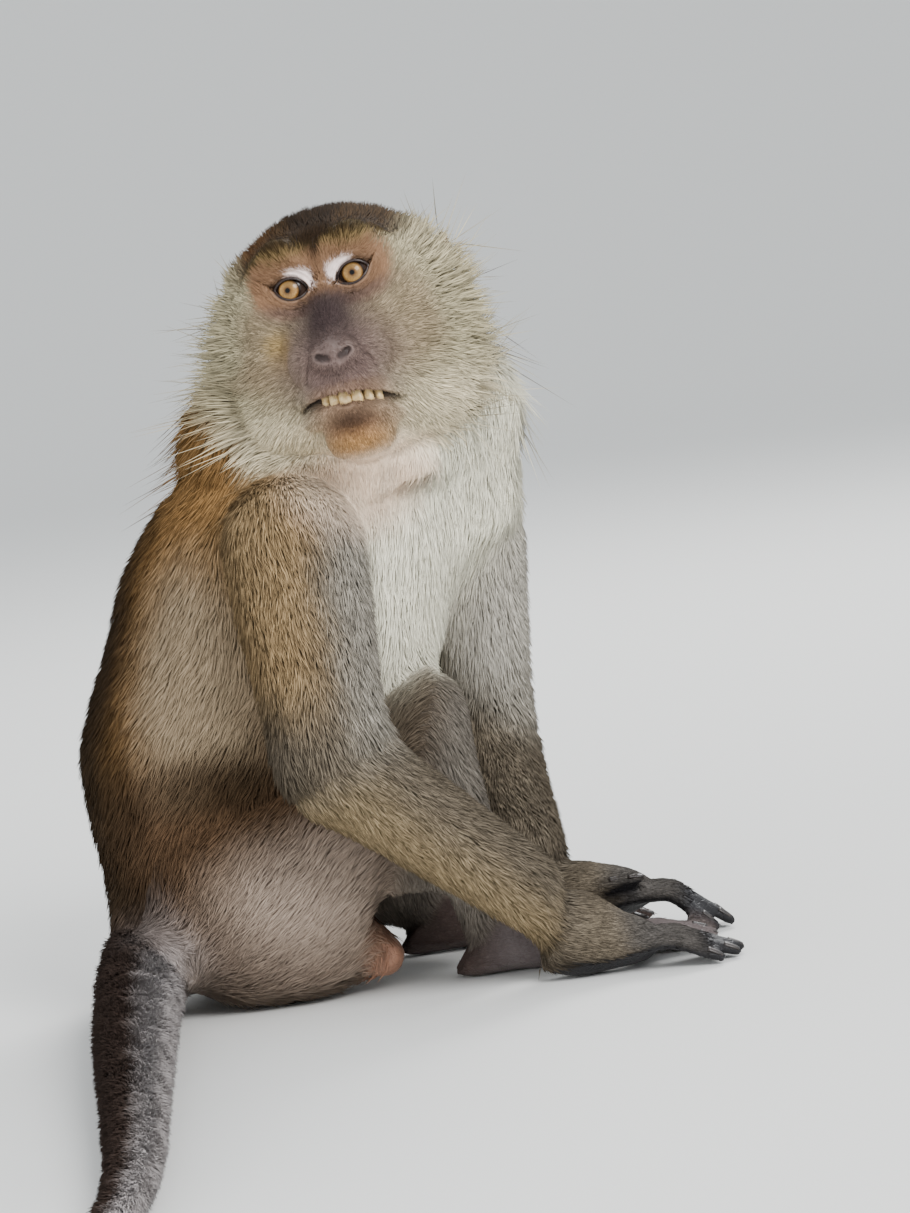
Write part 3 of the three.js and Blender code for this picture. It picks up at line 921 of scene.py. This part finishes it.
length = blend(skin_shares, HAIR_LENGTH.get)
clear_of_eyes = soft_step(gaps, 4, 12)
clear_of_nose = np.maximum(soft_step(upright, 12, 24), soft_step(56 - x, 0, 10))
face_length = 3.0 + 7.0 * soft_step(66 - x, 0, 24) * clear_of_eyes * clear_of_nose
face_length += 19 * soft_step(36 - x, 0, 32) * soft_step(34 - z, 0, 20)
face_length += 3.0 * blob(H, (62, 0, -76), (24, 20, 12))
length = length * off_head + face_length * on_head
length = length * (1 - 0.65 * throat)
length += hand * 6 * (1 - soft_step(hand_reach, 4, 44))
cheek_edge = on_head * soft_step(36 - x, 0, 20) * soft_step(30 - z, 0, 20)
ruff = np.maximum(cheek_edge, 0.5 * neck)
stand = np.clip(room, 0.5, 0.75 * length) + 4 * cheek_edge
stand = np.maximum(stand, 2.6 * hairy_hand * (1 - soft_step(hand_reach, 4, 40)))
print("room above the skin:", np.round(np.percentile(room, [1, 25, 50, 75, 99]), 1), "mm")

# %% Where no hair grows
bare = np.zeros(len(P))
for mask in (
    (1 - soft_step(gaps, 1.6, 3.2)) * on_head,
    1 - soft_step(nose_hole, 0.6, 1.8),
    lips * 1.5 * on_head,
    white_lids,
    blob(H, (88, 0, -30), (8, 9, 8)) * 0.85,
    foot * np.maximum(soft_step(-0.1 - nz, 0, 0.4), 0.35),
    hand * (1 - np.maximum(hairy_hand, 0.7 * fingers)),
    share_of("ear") * 0.75,
    near_line(P, SCROTUM, 19, 24) * trunk,
):
    bare = np.maximum(bare, np.clip(mask, 0, 1))
print(f"bare: {np.mean(bare > 0.5):.0%} of the vertices")

# %% [markdown]
# ## One tuft, stamped many times
# A hair particle system would be quick, but its hairs are not a solid mesh. Here one tuft is modelled:
# a three-sided cone, four triangles in all, with one corner of its base drawn back to be the root. Its
# places across, up and along are then stamped on every root in one sweep of numbers. A tuft leaves the
# skin, lies down along the body and leans towards the leader of its clump. Some tufts are a short, wide
# and darker undercoat, and on the cheeks and neck a few are long, thin whiskers.

# %% One tuft
MIDDLE = 0.42
PATCH = 0.003
bpy.ops.mesh.primitive_cone_add(
    vertices=3, radius1=0.5, radius2=0, depth=1 - MIDDLE, location=(0, 0, (1 + MIDDLE) / 2)
)
tuft = bpy.context.object
bpy.ops.object.transform_apply(location=True)
for vertex in tuft.data.vertices:
    if vertex.co.y > 0.4:
        vertex.co = (0, 0, 0)
    elif vertex.co.z < 0.9:
        vertex.co = (math.copysign(0.5, vertex.co.x), 0.25, MIDDLE)
with edit_mode("SELECT"):
    bpy.ops.mesh.normals_make_consistent(inside=False)
tuft_points = points_of(tuft) * MM
tuft_faces = np.array([tuple(f.vertices) for f in tuft.data.polygons])
bpy.data.objects.remove(tuft)

corner_names = [
    "root" if along < 0.1 else "tip" if along > 0.9 else "left" if across < 0 else "right"
    for across, _, along in tuft_points
]
UNFOLDED = {
    "root": {"left": (-1 / 3, 0), "right": (1 / 3, 0), "tip": (0, 1)},
    "tip": {"left": (-1 / 3, 0), "right": (1 / 3, 0), "root": (0, -1)},
    "right": {"left": (-1 / 3, 0), "tip": (0, 1), "root": (-1, 0.45)},
    "left": {"right": (1 / 3, 0), "root": (0, -1), "tip": (1, -0.45)},
}
tuft_patch = []
for corners in tuft_faces:
    names = [corner_names[c] for c in corners]
    missing = next(name for name in UNFOLDED if name not in names)
    tuft_patch.append([UNFOLDED[missing][name] for name in names])
tuft_patch = np.array(tuft_patch) * PATCH / 2
print("tuft:", len(tuft_points), "vertices,", len(tuft_faces), "triangles")

# %% Scatter the roots
TUFTS = 364000
rng = np.random.default_rng(SEED)
skin_faces = read(skin.data.loops, "vertex_index", 1, np.int32).reshape(-1, 3)
skin_uv = read(skin.data.uv_layers["OFBake"].uv, "vector", 2).reshape(-1, 3, 2)

width = np.clip(0.05 * length, 0.3, 0.72)
thickness = (1 - bare) / (length * width) * (0.35 + 0.65 * soft_step(length, 2, 7)) * (1 - 0.45 * tail)
a, b, c = (P[skin_faces[:, i]] for i in range(3))
area = 0.5 * np.linalg.norm(np.cross(b - a, c - a), axis=1)
expected = area * thickness[skin_faces].mean(axis=1)
layers = TUFTS / expected.sum() * 0.45
running = np.cumsum(expected) * (TUFTS / expected.sum())
face = np.searchsorted(running, np.arange(rng.random(), running[-1]))
corner = rng.random((len(face), 2))
outside = corner.sum(axis=1) > 1
corner[outside] = 1 - corner[outside]
weights = np.column_stack([1 - corner.sum(axis=1), corner])


def at_root(values):
    return np.einsum("ij,ij...->i...", weights, values[skin_faces[face]])


root_uv = np.einsum("ij,ijk->ik", weights, skin_uv[face])
print(f"{len(face)} tufts on {area.sum() / 100:.0f} cm2 of skin, about {layers:.1f} deep")

# %% Lay the tufts down
UNDERCOAT = 0.3
WHISKERS = 0.16
count = len(face)
root, root_normal = at_root(P), unit(at_root(N))
way = along_surface(at_root(lie), root_normal)
sideways = np.cross(root_normal, way)
swing = sum(np.sin(root @ rng.normal(0, 0.13, 3) + rng.uniform(0, 6)) for _ in range(4)) * 0.07
swing = swing + rng.normal(0, 0.16, count)
way = unit(way + sideways * swing[:, None])
hair = at_root(length) * rng.uniform(0.72, 1.2, count)
lift = np.minimum(at_root(stand) * rng.uniform(0.45, 1.05, count), 0.7 * hair)
root_width = at_root(width) * rng.uniform(0.75, 1.15, count)
under = rng.random(count) < UNDERCOAT
whisker = ~under & (rng.random(count) < WHISKERS * at_root(ruff))
hair = hair * np.where(under, 0.8, np.where(whisker, rng.uniform(1.3, 2.3, count), 1))
lift = np.where(under, 0.4 * lift, np.where(whisker, 0.6 * hair, lift))
root_width = root_width * np.where(under, 1.5, np.where(whisker, 0.5, 1))

skin_tree = BVHTree.FromPolygons([Vector(p) for p in P * MM], skin_faces.tolist())
reach = root + way * hair[:, None]
found = [skin_tree.find_nearest(Vector(p)) for p in reach * MM]
below = np.array([f[0] for f in found]) / MM
below_normal = np.array([f[1] for f in found])
far = np.linalg.norm(below - reach, axis=1) > 0.7 * hair
below[far], below_normal[far] = reach[far], root_normal[far]
tip = below + below_normal * lift[:, None]
print(f"{under.sum()} tufts of undercoat and {whisker.sum()} whiskers")

# %% Draw the tufts together in clumps
CLUMP = 9
leaders = rng.permutation(count)[: count // CLUMP]
clumps = KDTree(len(leaders))
for index in leaders:
    clumps.insert(Vector(root[index]), int(index))
clumps.balance()
leader = np.array([clumps.find(Vector(p))[1] for p in root])
near = np.linalg.norm(root[leader] - root, axis=1) < 0.6 * hair
pull = (near * rng.uniform(0.05, 0.4, count)[leader])[:, None]
tip = tip + (tip[leader] - root[leader] + (root[leader] - root) - (tip - root)) * pull
middle = root + (tip - root) * MIDDLE + root_normal * (0.5 * root_width)[:, None]
seed = 0.75 * rng.random(count) + 0.25 * rng.random(count)[leader]
seed[under] = 0.5 * seed[under]
print("clumps:", len(leaders))

# %% Share the tufts among the pieces
ROOTS = {"pelt": at_root(pelt), "ticking": at_root(ticking), "seed": seed}
root_local = to_head(root)
root_share = at_root(skin_shares)
owner = np.array([kind(n) for n in NODE_ORDER])[root_share.argmax(axis=1)]
lefty = np.array([n.endswith("_left") for n in NODE_ORDER])[root_share.argmax(axis=1)]
is_head, is_trunk = np.isin(owner, ("head", "ear")), owner == "trunk"
on_face, head_height = root_local[:, 0] > 34, root_local[:, 2]
in_front, height = root[:, 0] > -20, root[:, 2]
PIECES = {
    "coat_brows": ("head", is_head & on_face & (head_height > -16)),
    "coat_muzzle": ("head", is_head & on_face & (head_height <= -16)),
    "coat_crown": ("head", is_head & ~on_face & (head_height > 8)),
    "coat_cheeks": ("head", is_head & ~on_face & (head_height <= 8)),
    "coat_neck": ("coat_front", owner == "neck"),
    "coat_chest": ("coat_front", is_trunk & in_front),
    "coat_cape": ("coat_back", is_trunk & ~in_front & (height > 190)),
    "coat_flanks": ("coat_back", is_trunk & ~in_front & (height <= 190) & (height > 95)),
    "coat_rump": ("coat_back", is_trunk & ~in_front & (height <= 95)),
    "coat_upper_arms": ("coat_limbs", owner == "upper_arm"),
    "coat_forearm_right": ("coat_limbs", np.isin(owner, ("forearm", "hand")) & ~lefty),
    "coat_forearm_left": ("coat_limbs", np.isin(owner, ("forearm", "hand")) & lefty),
    "coat_leg_right": ("coat_limbs", np.isin(owner, ("thigh", "shin", "foot")) & ~lefty),
    "coat_leg_left": ("coat_limbs", np.isin(owner, ("thigh", "shin", "foot")) & lefty),
    "coat_tail": ("coat_tail", np.isin(owner, ("tail_base", "tail_middle", "tail_tip"))),
}
print("pieces of coat:", len(PIECES))

# %% Stamp the tufts, piece by piece
SINK = 0.4
GROUND_GAP = 0.3
FLATNESS = 0.5


def write_attribute(mesh, name, values):
    is_colour = values.ndim == 2
    attribute = mesh.attributes.new(name, "FLOAT_COLOR" if is_colour else "FLOAT", "POINT")
    if is_colour:
        values = np.column_stack([values, np.ones(len(values))])
    attribute.data.foreach_set("color" if is_colour else "value", values.astype(np.float32).ravel())


def stamp(name, chosen):
    k = np.flatnonzero(chosen)
    size = root_width[k, None]
    base = root[k] - root_normal[k] * SINK
    across = unit(np.cross(root_normal[k], tip[k] - base))
    spots = []
    for tx, ty, tz in tuft_points:
        spine = base if tz < 0.1 else tip[k] if tz > 0.9 else middle[k]
        spots.append(spine + across * tx * 1.15 * size + root_normal[k] * ty * FLATNESS * size)
    spots = np.stack(spots, axis=1).reshape(-1, 3)
    spots[:, 2] = np.maximum(spots[:, 2], GROUND_GAP)
    per = len(tuft_points)
    faces = (tuft_faces[None] + (np.arange(len(k)) * per)[:, None, None]).reshape(-1, 3)
    mesh = bpy.data.meshes.new(name)
    mesh.vertices.add(len(spots))
    mesh.loops.add(faces.size)
    mesh.polygons.add(len(faces))
    mesh.vertices.foreach_set("co", (spots * MM).astype(np.float32).ravel())
    mesh.loops.foreach_set("vertex_index", faces.astype(np.int32).ravel())
    mesh.polygons.foreach_set("loop_start", np.arange(0, faces.size, 3, dtype=np.int32))
    mesh.update(calc_edges=True)
    bend = across[:, None] * tuft_points[None, :, :1]
    bend = bend + root_normal[k][:, None] * (tuft_points[None, :, 1:2] + 1.4)
    mesh.attributes.new("custom_normal", "FLOAT_VECTOR", "POINT").data.foreach_set(
        "vector", unit(bend).astype(np.float32).ravel()
    )
    patches = (root_uv[k][:, None, None] + tuft_patch[None]).astype(np.float32)
    mesh.uv_layers.new(name="OFBake").uv.foreach_set("vector", patches.ravel())
    for key, values in ROOTS.items():
        write_attribute(mesh, key, np.repeat(values[k], per, axis=0))
    write_attribute(mesh, "along", np.tile(tuft_points[:, 2], len(k)))
    piece = bpy.data.objects.new(name, mesh)
    bpy.context.scene.collection.objects.link(piece)
    only(piece)
    bpy.ops.object.shade_smooth()
    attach(piece, "root")
    return piece


coat = {}
for name, (slot, chosen) in PIECES.items():
    coat[name] = stamp(name, chosen)
    print(f"{name:16s} {chosen.sum():6d} tufts")
for key, values in {"pelt": pelt, "bare": bare}.items():
    write_attribute(skin.data, key, values)

# %% [markdown]
# ## Thinner where it is hidden
# Now that the coat carries the colours, the skin under it needs fewer faces. A Decimate modifier with a
# vertex group takes them only from there, so that the paws, the ears and the face stay fine.

# %% Thin the skin
SKIN_TRIANGLES = 196000
UNDER_COAT = 0.5
thin_group = skin.vertex_groups.new(name="under_coat")
under_coat = np.flatnonzero(share_of("head", "ear", "hand", "foot") < 0.02)
thin_group.add(under_coat.tolist(), UNDER_COAT, "REPLACE")
full = sum(len(face.vertices) - 2 for face in skin.data.polygons)
apply_modifier(skin, "DECIMATE", ratio=SKIN_TRIANGLES / full, vertex_group="under_coat")
skin.vertex_groups.clear()
print("skin:", full, "triangles, thinned to", len(skin.data.polygons))
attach(skin, "root")
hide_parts(*FLESH)

# %% [markdown]
# ## Eyes
# A macaque's eye shows little but its brown iris between dark lids. Each eye is a ball with its pole
# at the pupil, so that rings of faces follow the iris, and the pole swells a little as a cornea does.
# The angle from the pole is stored on each vertex, and the material takes its colours from it. A second
# number darkens the ball towards its top, where the upper lid shades it.

# %% Eyes
IRIS_ANGLE = 35.5
CORNEA = 0.06
LID_SHADE = 0.62
GAZE = {"right": (1, -0.17, 0.0), "left": (1, 0.0, 0.0)}
eyes = []
for side, name in ((-1, "right"), (1, "left")):
    bpy.ops.mesh.primitive_uv_sphere_add(segments=48, ring_count=64, radius=EYE_RADIUS * MM)
    eye = bpy.context.object
    eye.name = f"eyeball_{name}"
    ball = points_of(eye)
    off_axis = np.degrees(np.arccos(np.clip(ball[:, 2] / EYE_RADIUS, -1, 1)))
    ball *= (1 + CORNEA * np.clip(1 - (off_axis / IRIS_ANGLE) ** 2, 0, 1))[:, None]
    to_gaze = np.array(Vector((0, 0, 1)).rotation_difference(Vector(GAZE[name])).to_matrix())
    ball = ball @ to_gaze.T
    move_points(eye, from_head(ball + EYE_IN_HEAD * (1, side, 1)))
    write_attribute(eye.data, "off_axis", off_axis)
    under_lid = soft_step(ball[:, 2] - side * 0.2 * ball[:, 1], 0.2, 4.6)
    write_attribute(eye.data, "lid_shade", 1 - LID_SHADE * under_lid)
    bpy.ops.object.shade_smooth()
    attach(eye, "root")
    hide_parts(f"eye_{name}")
    eyes.append(eye)
print("eyes:", len(eyes))

# %% [markdown]
# ## Lid rims, teeth and nails
# The edge of each lid is a thin dark moist cord, made as a tube along the almond. Six small incisors
# show between the lips. Each finger and toe ends in a dark, narrow nail, curved over like a roof tile.

# %% Tubes
def tube(name, path, radius):
    """A closed round tube along a path in mm: a curve with a bevel, turned into a mesh."""
    curve = bpy.data.curves.new(name, "CURVE")
    curve.dimensions = "3D"
    curve.bevel_depth = radius * MM
    curve.bevel_resolution = 2
    spline = curve.splines.new("POLY")
    spline.points.add(len(path) - 1)
    for point, place in zip(spline.points, path):
        point.co = (*(np.array(place) * MM), 1)
    spline.use_cyclic_u = True
    piece = bpy.data.objects.new(name, curve)
    bpy.context.scene.collection.objects.link(piece)
    only(piece)
    bpy.ops.object.convert(target="MESH")
    piece = bpy.context.object
    bpy.ops.object.shade_smooth()
    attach(piece, "root")
    return piece


def almond(side, steps=28):
    """Points round the opening of the lids, on a ball just outside the eye."""
    path = []
    half, ball = LID["half_width"], EYE_RADIUS + 0.9
    for height, direction in ((LID["upper"], 1), (LID["lower"], -1)):
        radius = (half**2 + height**2) / (2 * height)
        for t in np.linspace(-1, 1, steps, endpoint=False):
            across = direction * t * half
            above = direction * (math.sqrt(radius**2 - across**2) + height - radius)
            c, s = math.cos(LID["tilt"]), math.sin(LID["tilt"])
            out, up = across * c - above * s, above * c + across * s
            on_ball = (math.sqrt(ball**2 - out**2 - up**2), side * out, up)
            path.append(EYE_IN_HEAD * (1, side, 1) + on_ball)
    return path


RIM_RADIUS = 0.62
rims = []
for side, name in ((-1, "right"), (1, "left")):
    rims.append(tube(f"lid_rim_{name}", from_head(np.array(almond(side))), RIM_RADIUS))
print("lid rims:", len(rims))

# %% Teeth
TEETH = (3.6, 4.6, 5.6, 5.6, 4.6, 4.0)
TOOTH_DROP, TOOTH_DEPTH = 8.6, 3.0
teeth = []
edge = 1.5 - sum(TEETH) / 2
for number, wide in enumerate(TEETH):
    centre_y = edge + wide / 2
    edge += wide
    bpy.ops.mesh.primitive_cube_add(size=1)
    tooth = bpy.context.object
    tooth.name = f"tooth_{number}"
    with edit_mode("SELECT"):
        bpy.ops.mesh.subdivide(number_cuts=2)
        bpy.ops.mesh.vertices_smooth(factor=0.5, repeat=1)
    shape = points_of(tooth) * MM
    crown = 1 - 0.16 * (shape[:, 2] + 0.5)
    shape = shape * (TOOTH_DEPTH, wide * 1.12, TOOTH_DROP)
    shape[:, 1] *= crown
    shape[:, 0] -= 0.5 * (shape[:, 1] / wide) ** 2 * 3
    lean = 0.15 * shape[:, 2]
    front = mouth_front(np.array(centre_y)) - 5.8
    angle = -math.atan(2 * MOUTH["round"] * centre_y)
    c, s = math.cos(angle), math.sin(angle)
    deep, aside, up = shape.T
    placed = np.stack([deep * c - aside * s, deep * s + aside * c, up], axis=1)
    placed += (front, centre_y, mouth_height(centre_y) + 1.5)
    placed[:, 0] -= lean
    move_points(tooth, from_head(placed))
    bpy.ops.object.shade_smooth()
    teeth.append(tooth)
teeth = join(teeth, "teeth")
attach(teeth, "root")
print("teeth:", len(TEETH))

# %% Nails
NAIL_LENGTH, NAIL_WIDTH, NAIL_THICKNESS = 8.0, 5.4, 0.9
NAIL_FLOOR = 1.4
PAWS = {
    "hand_right": ((70.2, 157.0), -3, 1), "hand_left": ((72.2, 239.0), -3, -1),
    "foot_right": ((40.2, 195.0), 1, 1), "foot_left": ((12.2, 276.0), 4, -1),
}
DIGIT_TIPS = {
    "hand": ((84, 15.9), (92, 5.3), (90, -5.3), (82, -15.9), (48.5, 19.5)),
    "foot": ((108.5, 16.1), (112.5, 5.4), (110.5, -5.4), (105.5, -16.1), (70, 23.5)),
}


def on_skin_above(place):
    hit = skin_tree.ray_cast(Vector((*(place * MM), 0.05)), Vector((0, 0, -1)))[0]
    return None if hit is None else np.array(hit) / MM


nails = []
for paw, (place, heading, thumb_side) in PAWS.items():
    c, s = math.cos(math.radians(heading)), math.sin(math.radians(heading))
    for reach_along, aside in DIGIT_TIPS[kind(paw)]:
        aside *= thumb_side
        start = np.array(place) + (reach_along * c - aside * s, reach_along * s + aside * c)
        fore, rear = (on_skin_above(start - np.array([c, s]) * back) for back in (2.2, 7.5))
        if fore is None or rear is None or abs(fore[2] - rear[2]) > 7:
            print("no nail:", paw, reach_along)
            continue
        ahead = unit(fore - rear)
        aslant = unit(np.cross((0, 0, 1), ahead))
        bpy.ops.mesh.primitive_grid_add(x_subdivisions=7, y_subdivisions=7, size=1)
        nail = bpy.context.object
        tile = points_of(nail) * MM
        t = tile[:, 0] + 0.5
        across = tile[:, 1] * NAIL_WIDTH * (1 - 0.3 * t**3)
        rise = 0.55 - across**2 / NAIL_WIDTH - 0.7 * t**3
        tile = rear + np.outer(t * NAIL_LENGTH, ahead) + np.outer(across, aslant)
        tile = tile + np.outer(rise, np.cross(ahead, aslant))
        tile[:, 2] = np.maximum(tile[:, 2], NAIL_FLOOR)
        move_points(nail, tile)
        apply_modifier(nail, "SOLIDIFY", thickness=NAIL_THICKNESS * MM, offset=-1)
        bpy.ops.object.shade_smooth()
        nails.append(nail)
print("nails:", len(nails))
nails = join(nails, "nails")
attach(nails, "root")

# %% [markdown]
# ## Materials
# Small node groups hold what several materials share: the banded, agouti look of a hair, whose darker
# root is partly its real dark base and partly painted shade deep in the coat, and the fine relief of
# bare skin. Both take named inputs, and the shader itself stays in each material.

# %% Node helpers
def wire(tree, node, inputs):
    """Gives each named input a value, or links another node's output to it."""
    for key, value in dict(inputs).items():
        if isinstance(value, bpy.types.NodeSocket):
            tree.links.new(value, node.inputs[key])
        else:
            node.inputs[key].default_value = value
    return node


def add_node(tree, kind, inputs=(), **settings):
    node = tree.nodes.new("ShaderNode" + kind)
    for key, value in settings.items():
        setattr(node, key, value)
    return wire(tree, node, inputs)


def use_group(tree, group, inputs=()):
    node = tree.nodes.new("ShaderNodeGroup")
    node.node_tree = group
    return wire(tree, node, inputs)


def attribute(tree, name, output="Fac"):
    return add_node(tree, "Attribute", attribute_name=name).outputs[output]


def add_ramp(tree, along, stops):
    """Colours that change along a number, with a place from 0 to 1 for each."""
    ramp = add_node(tree, "ValToRGB", {"Fac": along})
    while len(ramp.color_ramp.elements) < len(stops):
        ramp.color_ramp.elements.new(0.5)
    for element, (place, shade) in zip(ramp.color_ramp.elements, stops):
        element.position, element.color = place, (*shade, 1)
    return ramp.outputs["Color"]


def new_group(name, inputs, outputs):
    group = bpy.data.node_groups.new(name, "ShaderNodeTree")
    for direction, sockets in (("INPUT", inputs), ("OUTPUT", outputs)):
        for socket, (kind, value) in sockets.items():
            made = group.interface.new_socket(socket, in_out=direction, socket_type="NodeSocket" + kind)
            if value is not None:
                made.default_value = value
    start = group.nodes.new("NodeGroupInput").outputs
    end = group.nodes.new("NodeGroupOutput").inputs
    return group, start, end


def scale_colour(tree, colour, factor):
    return add_node(tree, "VectorMath", {0: colour, 1: factor}, operation="MULTIPLY").outputs[0]


# %% Banded hair
FLOAT = ("Float", 0.5)
banded_hair, start, end = new_group(
    "banded_hair",
    {"Pelt": ("Color", (0.2, 0.15, 0.1, 1)), "Ticking": FLOAT, "Along": FLOAT, "Seed": FLOAT},
    {"Color": ("Color", None)},
)
# Both ramps darken a hair towards its root: partly the real dark base of banded hair, partly painted shade
# deep in the coat.
BANDS = ((0.0, 0.24), (0.25, 0.3), (0.45, 0.54), (0.72, 0.62), (0.86, 0.46), (1.0, 0.24))
bands = add_ramp(banded_hair, start["Along"], [(place, (value,) * 3) for place, value in BANDS])
plain_with_root_shade = add_node(
    banded_hair, "MapRange", {"Value": start["Along"], "From Max": 0.45, "To Min": 0.42, "To Max": 0.5}
)
shade = add_node(
    banded_hair, "Mix", {"Factor": start["Ticking"], "A": plain_with_root_shade.outputs[0], "B": bands}, data_type="FLOAT"
)
seed = add_node(banded_hair, "Math", {0: start["Seed"], 1: 0.5}, operation="SUBTRACT")
contrast = add_node(banded_hair, "MapRange", {"Value": start["Ticking"], "To Min": 0.35, "To Max": 2.8})
terms = {0: seed.outputs[0], 1: contrast.outputs[0], 2: 2.0}
vary = add_node(banded_hair, "Math", terms, operation="MULTIPLY_ADD")
factor = add_node(banded_hair, "Math", {0: shade.outputs[0], 1: vary.outputs[0]}, operation="MULTIPLY")
banded_hair.links.new(scale_colour(banded_hair, start["Pelt"], factor.outputs[0]), end["Color"])
print("banded hair:", len(BANDS), "bands")

# %% Skin relief
skin_relief, start, end = new_group(
    "skin_relief",
    {"Pores": ("Float", 700.0), "Creases": ("Float", 260.0)},
    {"Height": ("Float", None), "Mottle": ("Float", None)},
)
place = add_node(skin_relief, "TexCoord").outputs["Object"]
pores = add_node(skin_relief, "TexNoise", {"Vector": place, "Scale": start["Pores"], "Detail": 3.0})
creases = add_node(
    skin_relief, "TexVoronoi", {"Vector": place, "Scale": start["Creases"]}, feature="DISTANCE_TO_EDGE"
)
grooves = add_node(skin_relief, "MapRange", {"Value": creases.outputs["Distance"], "From Max": 0.12})
both = add_node(skin_relief, "Math", {0: pores.outputs["Fac"], 1: grooves.outputs[0]}, operation="ADD")


def uneven(tree, scale, detail, least, most):
    """A number that wanders between two values over the piece."""
    place = add_node(tree, "TexCoord").outputs["Object"]
    noise = add_node(tree, "TexNoise", {"Vector": place, "Scale": scale, "Detail": detail}).outputs["Fac"]
    spread_out = {"Value": noise, "From Min": 0.3, "From Max": 0.7, "To Min": least, "To Max": most}
    return add_node(tree, "MapRange", spread_out).outputs[0]


skin_relief.links.new(both.outputs[0], end["Height"])
skin_relief.links.new(uneven(skin_relief, 160.0, 4.0, 0.8, 1.15), end["Mottle"])

# %% Coat
coat_material, tree, shader = new_material("coat_hair", Roughness=0.8, Specular_IOR_Level=0.04)
strand = {key.capitalize(): attribute(tree, key) for key in ("ticking", "along", "seed")}
strand["Pelt"] = attribute(tree, "pelt", "Color")
wire(tree, shader, {"Base Color": use_group(tree, banded_hair, strand).outputs["Color"]})
for piece in coat.values():
    piece.data.materials.append(coat_material)

# %% Skin
skin_material, tree, shader = new_material("skin", Roughness=0.55, Specular_IOR_Level=0.22)
relief = use_group(tree, skin_relief).outputs
smoother = add_node(tree, "MapRange", {"Value": attribute(tree, "bare"), "To Min": 0.85, "To Max": 0.48})
bump = add_node(tree, "Bump", {"Height": relief["Height"], "Strength": 0.5, "Distance": 0.0004})
shade = scale_colour(tree, attribute(tree, "pelt", "Color"), relief["Mottle"])
wire(tree, shader, {"Base Color": shade, "Roughness": smoother.outputs[0], "Normal": bump.outputs[0]})
skin.data.materials.append(skin_material)

# %% Eyes, rims and teeth
EYE_RINGS = (
    (0, (2, 2, 2)), (6.0, (2, 2, 2)), (7.4, (76, 52, 28)), (13, (130, 97, 54)), (24, (168, 130, 76)),
    (29, (118, 84, 44)), (34, (26, 18, 13)), (39, (44, 33, 28)), (60, (70, 54, 46)),
)
eye_material, tree, shader = new_material(
    "eye", Roughness=0.25, Specular_IOR_Level=0.1, Coat_Weight=0.4, Coat_Roughness=0.03
)
share = add_node(tree, "Math", {0: attribute(tree, "off_axis"), 1: 90.0}, operation="DIVIDE")
rings = add_ramp(tree, share.outputs[0], [(degrees / 90, colour(*shade)) for degrees, shade in EYE_RINGS])
fibres = scale_colour(tree, rings, uneven(tree, 1500.0, 2.0, 0.75, 1.2))
wire(tree, shader, {"Base Color": scale_colour(tree, fibres, attribute(tree, "lid_shade"))})
for eye in eyes:
    eye.data.materials.append(eye_material)


def mottled(name, dark, light, scale, roughness):
    """A material whose colour wanders between two shades, with a matching fine bump."""
    material, tree, shader = new_material(name, Roughness=roughness)
    place = add_node(tree, "TexCoord").outputs["Object"]
    noise = add_node(tree, "TexNoise", {"Vector": place, "Scale": scale, "Detail": 4.0}).outputs["Fac"]
    shades = add_ramp(tree, noise, [(0.35, colour(*dark)), (0.65, colour(*light))])
    bump = add_node(tree, "Bump", {"Height": noise, "Strength": 0.3, "Distance": 0.0003})
    wire(tree, shader, {"Base Color": shades, "Normal": bump.outputs["Normal"]})
    return material


rim_material = mottled("lid_rim", (30, 22, 20), (56, 42, 38), 900.0, 0.3)
tooth_material = mottled("tooth", (182, 150, 98), (212, 186, 138), 500.0, 0.3)
nail_material = mottled("nail", (30, 26, 25), (54, 47, 44), 400.0, 0.35)
for pieces, material in (([nails], nail_material), ([teeth], tooth_material), (rims, rim_material)):
    for piece in pieces:
        piece.data.materials.clear()
        piece.data.materials.append(material)
print("materials:", len(bpy.data.materials))
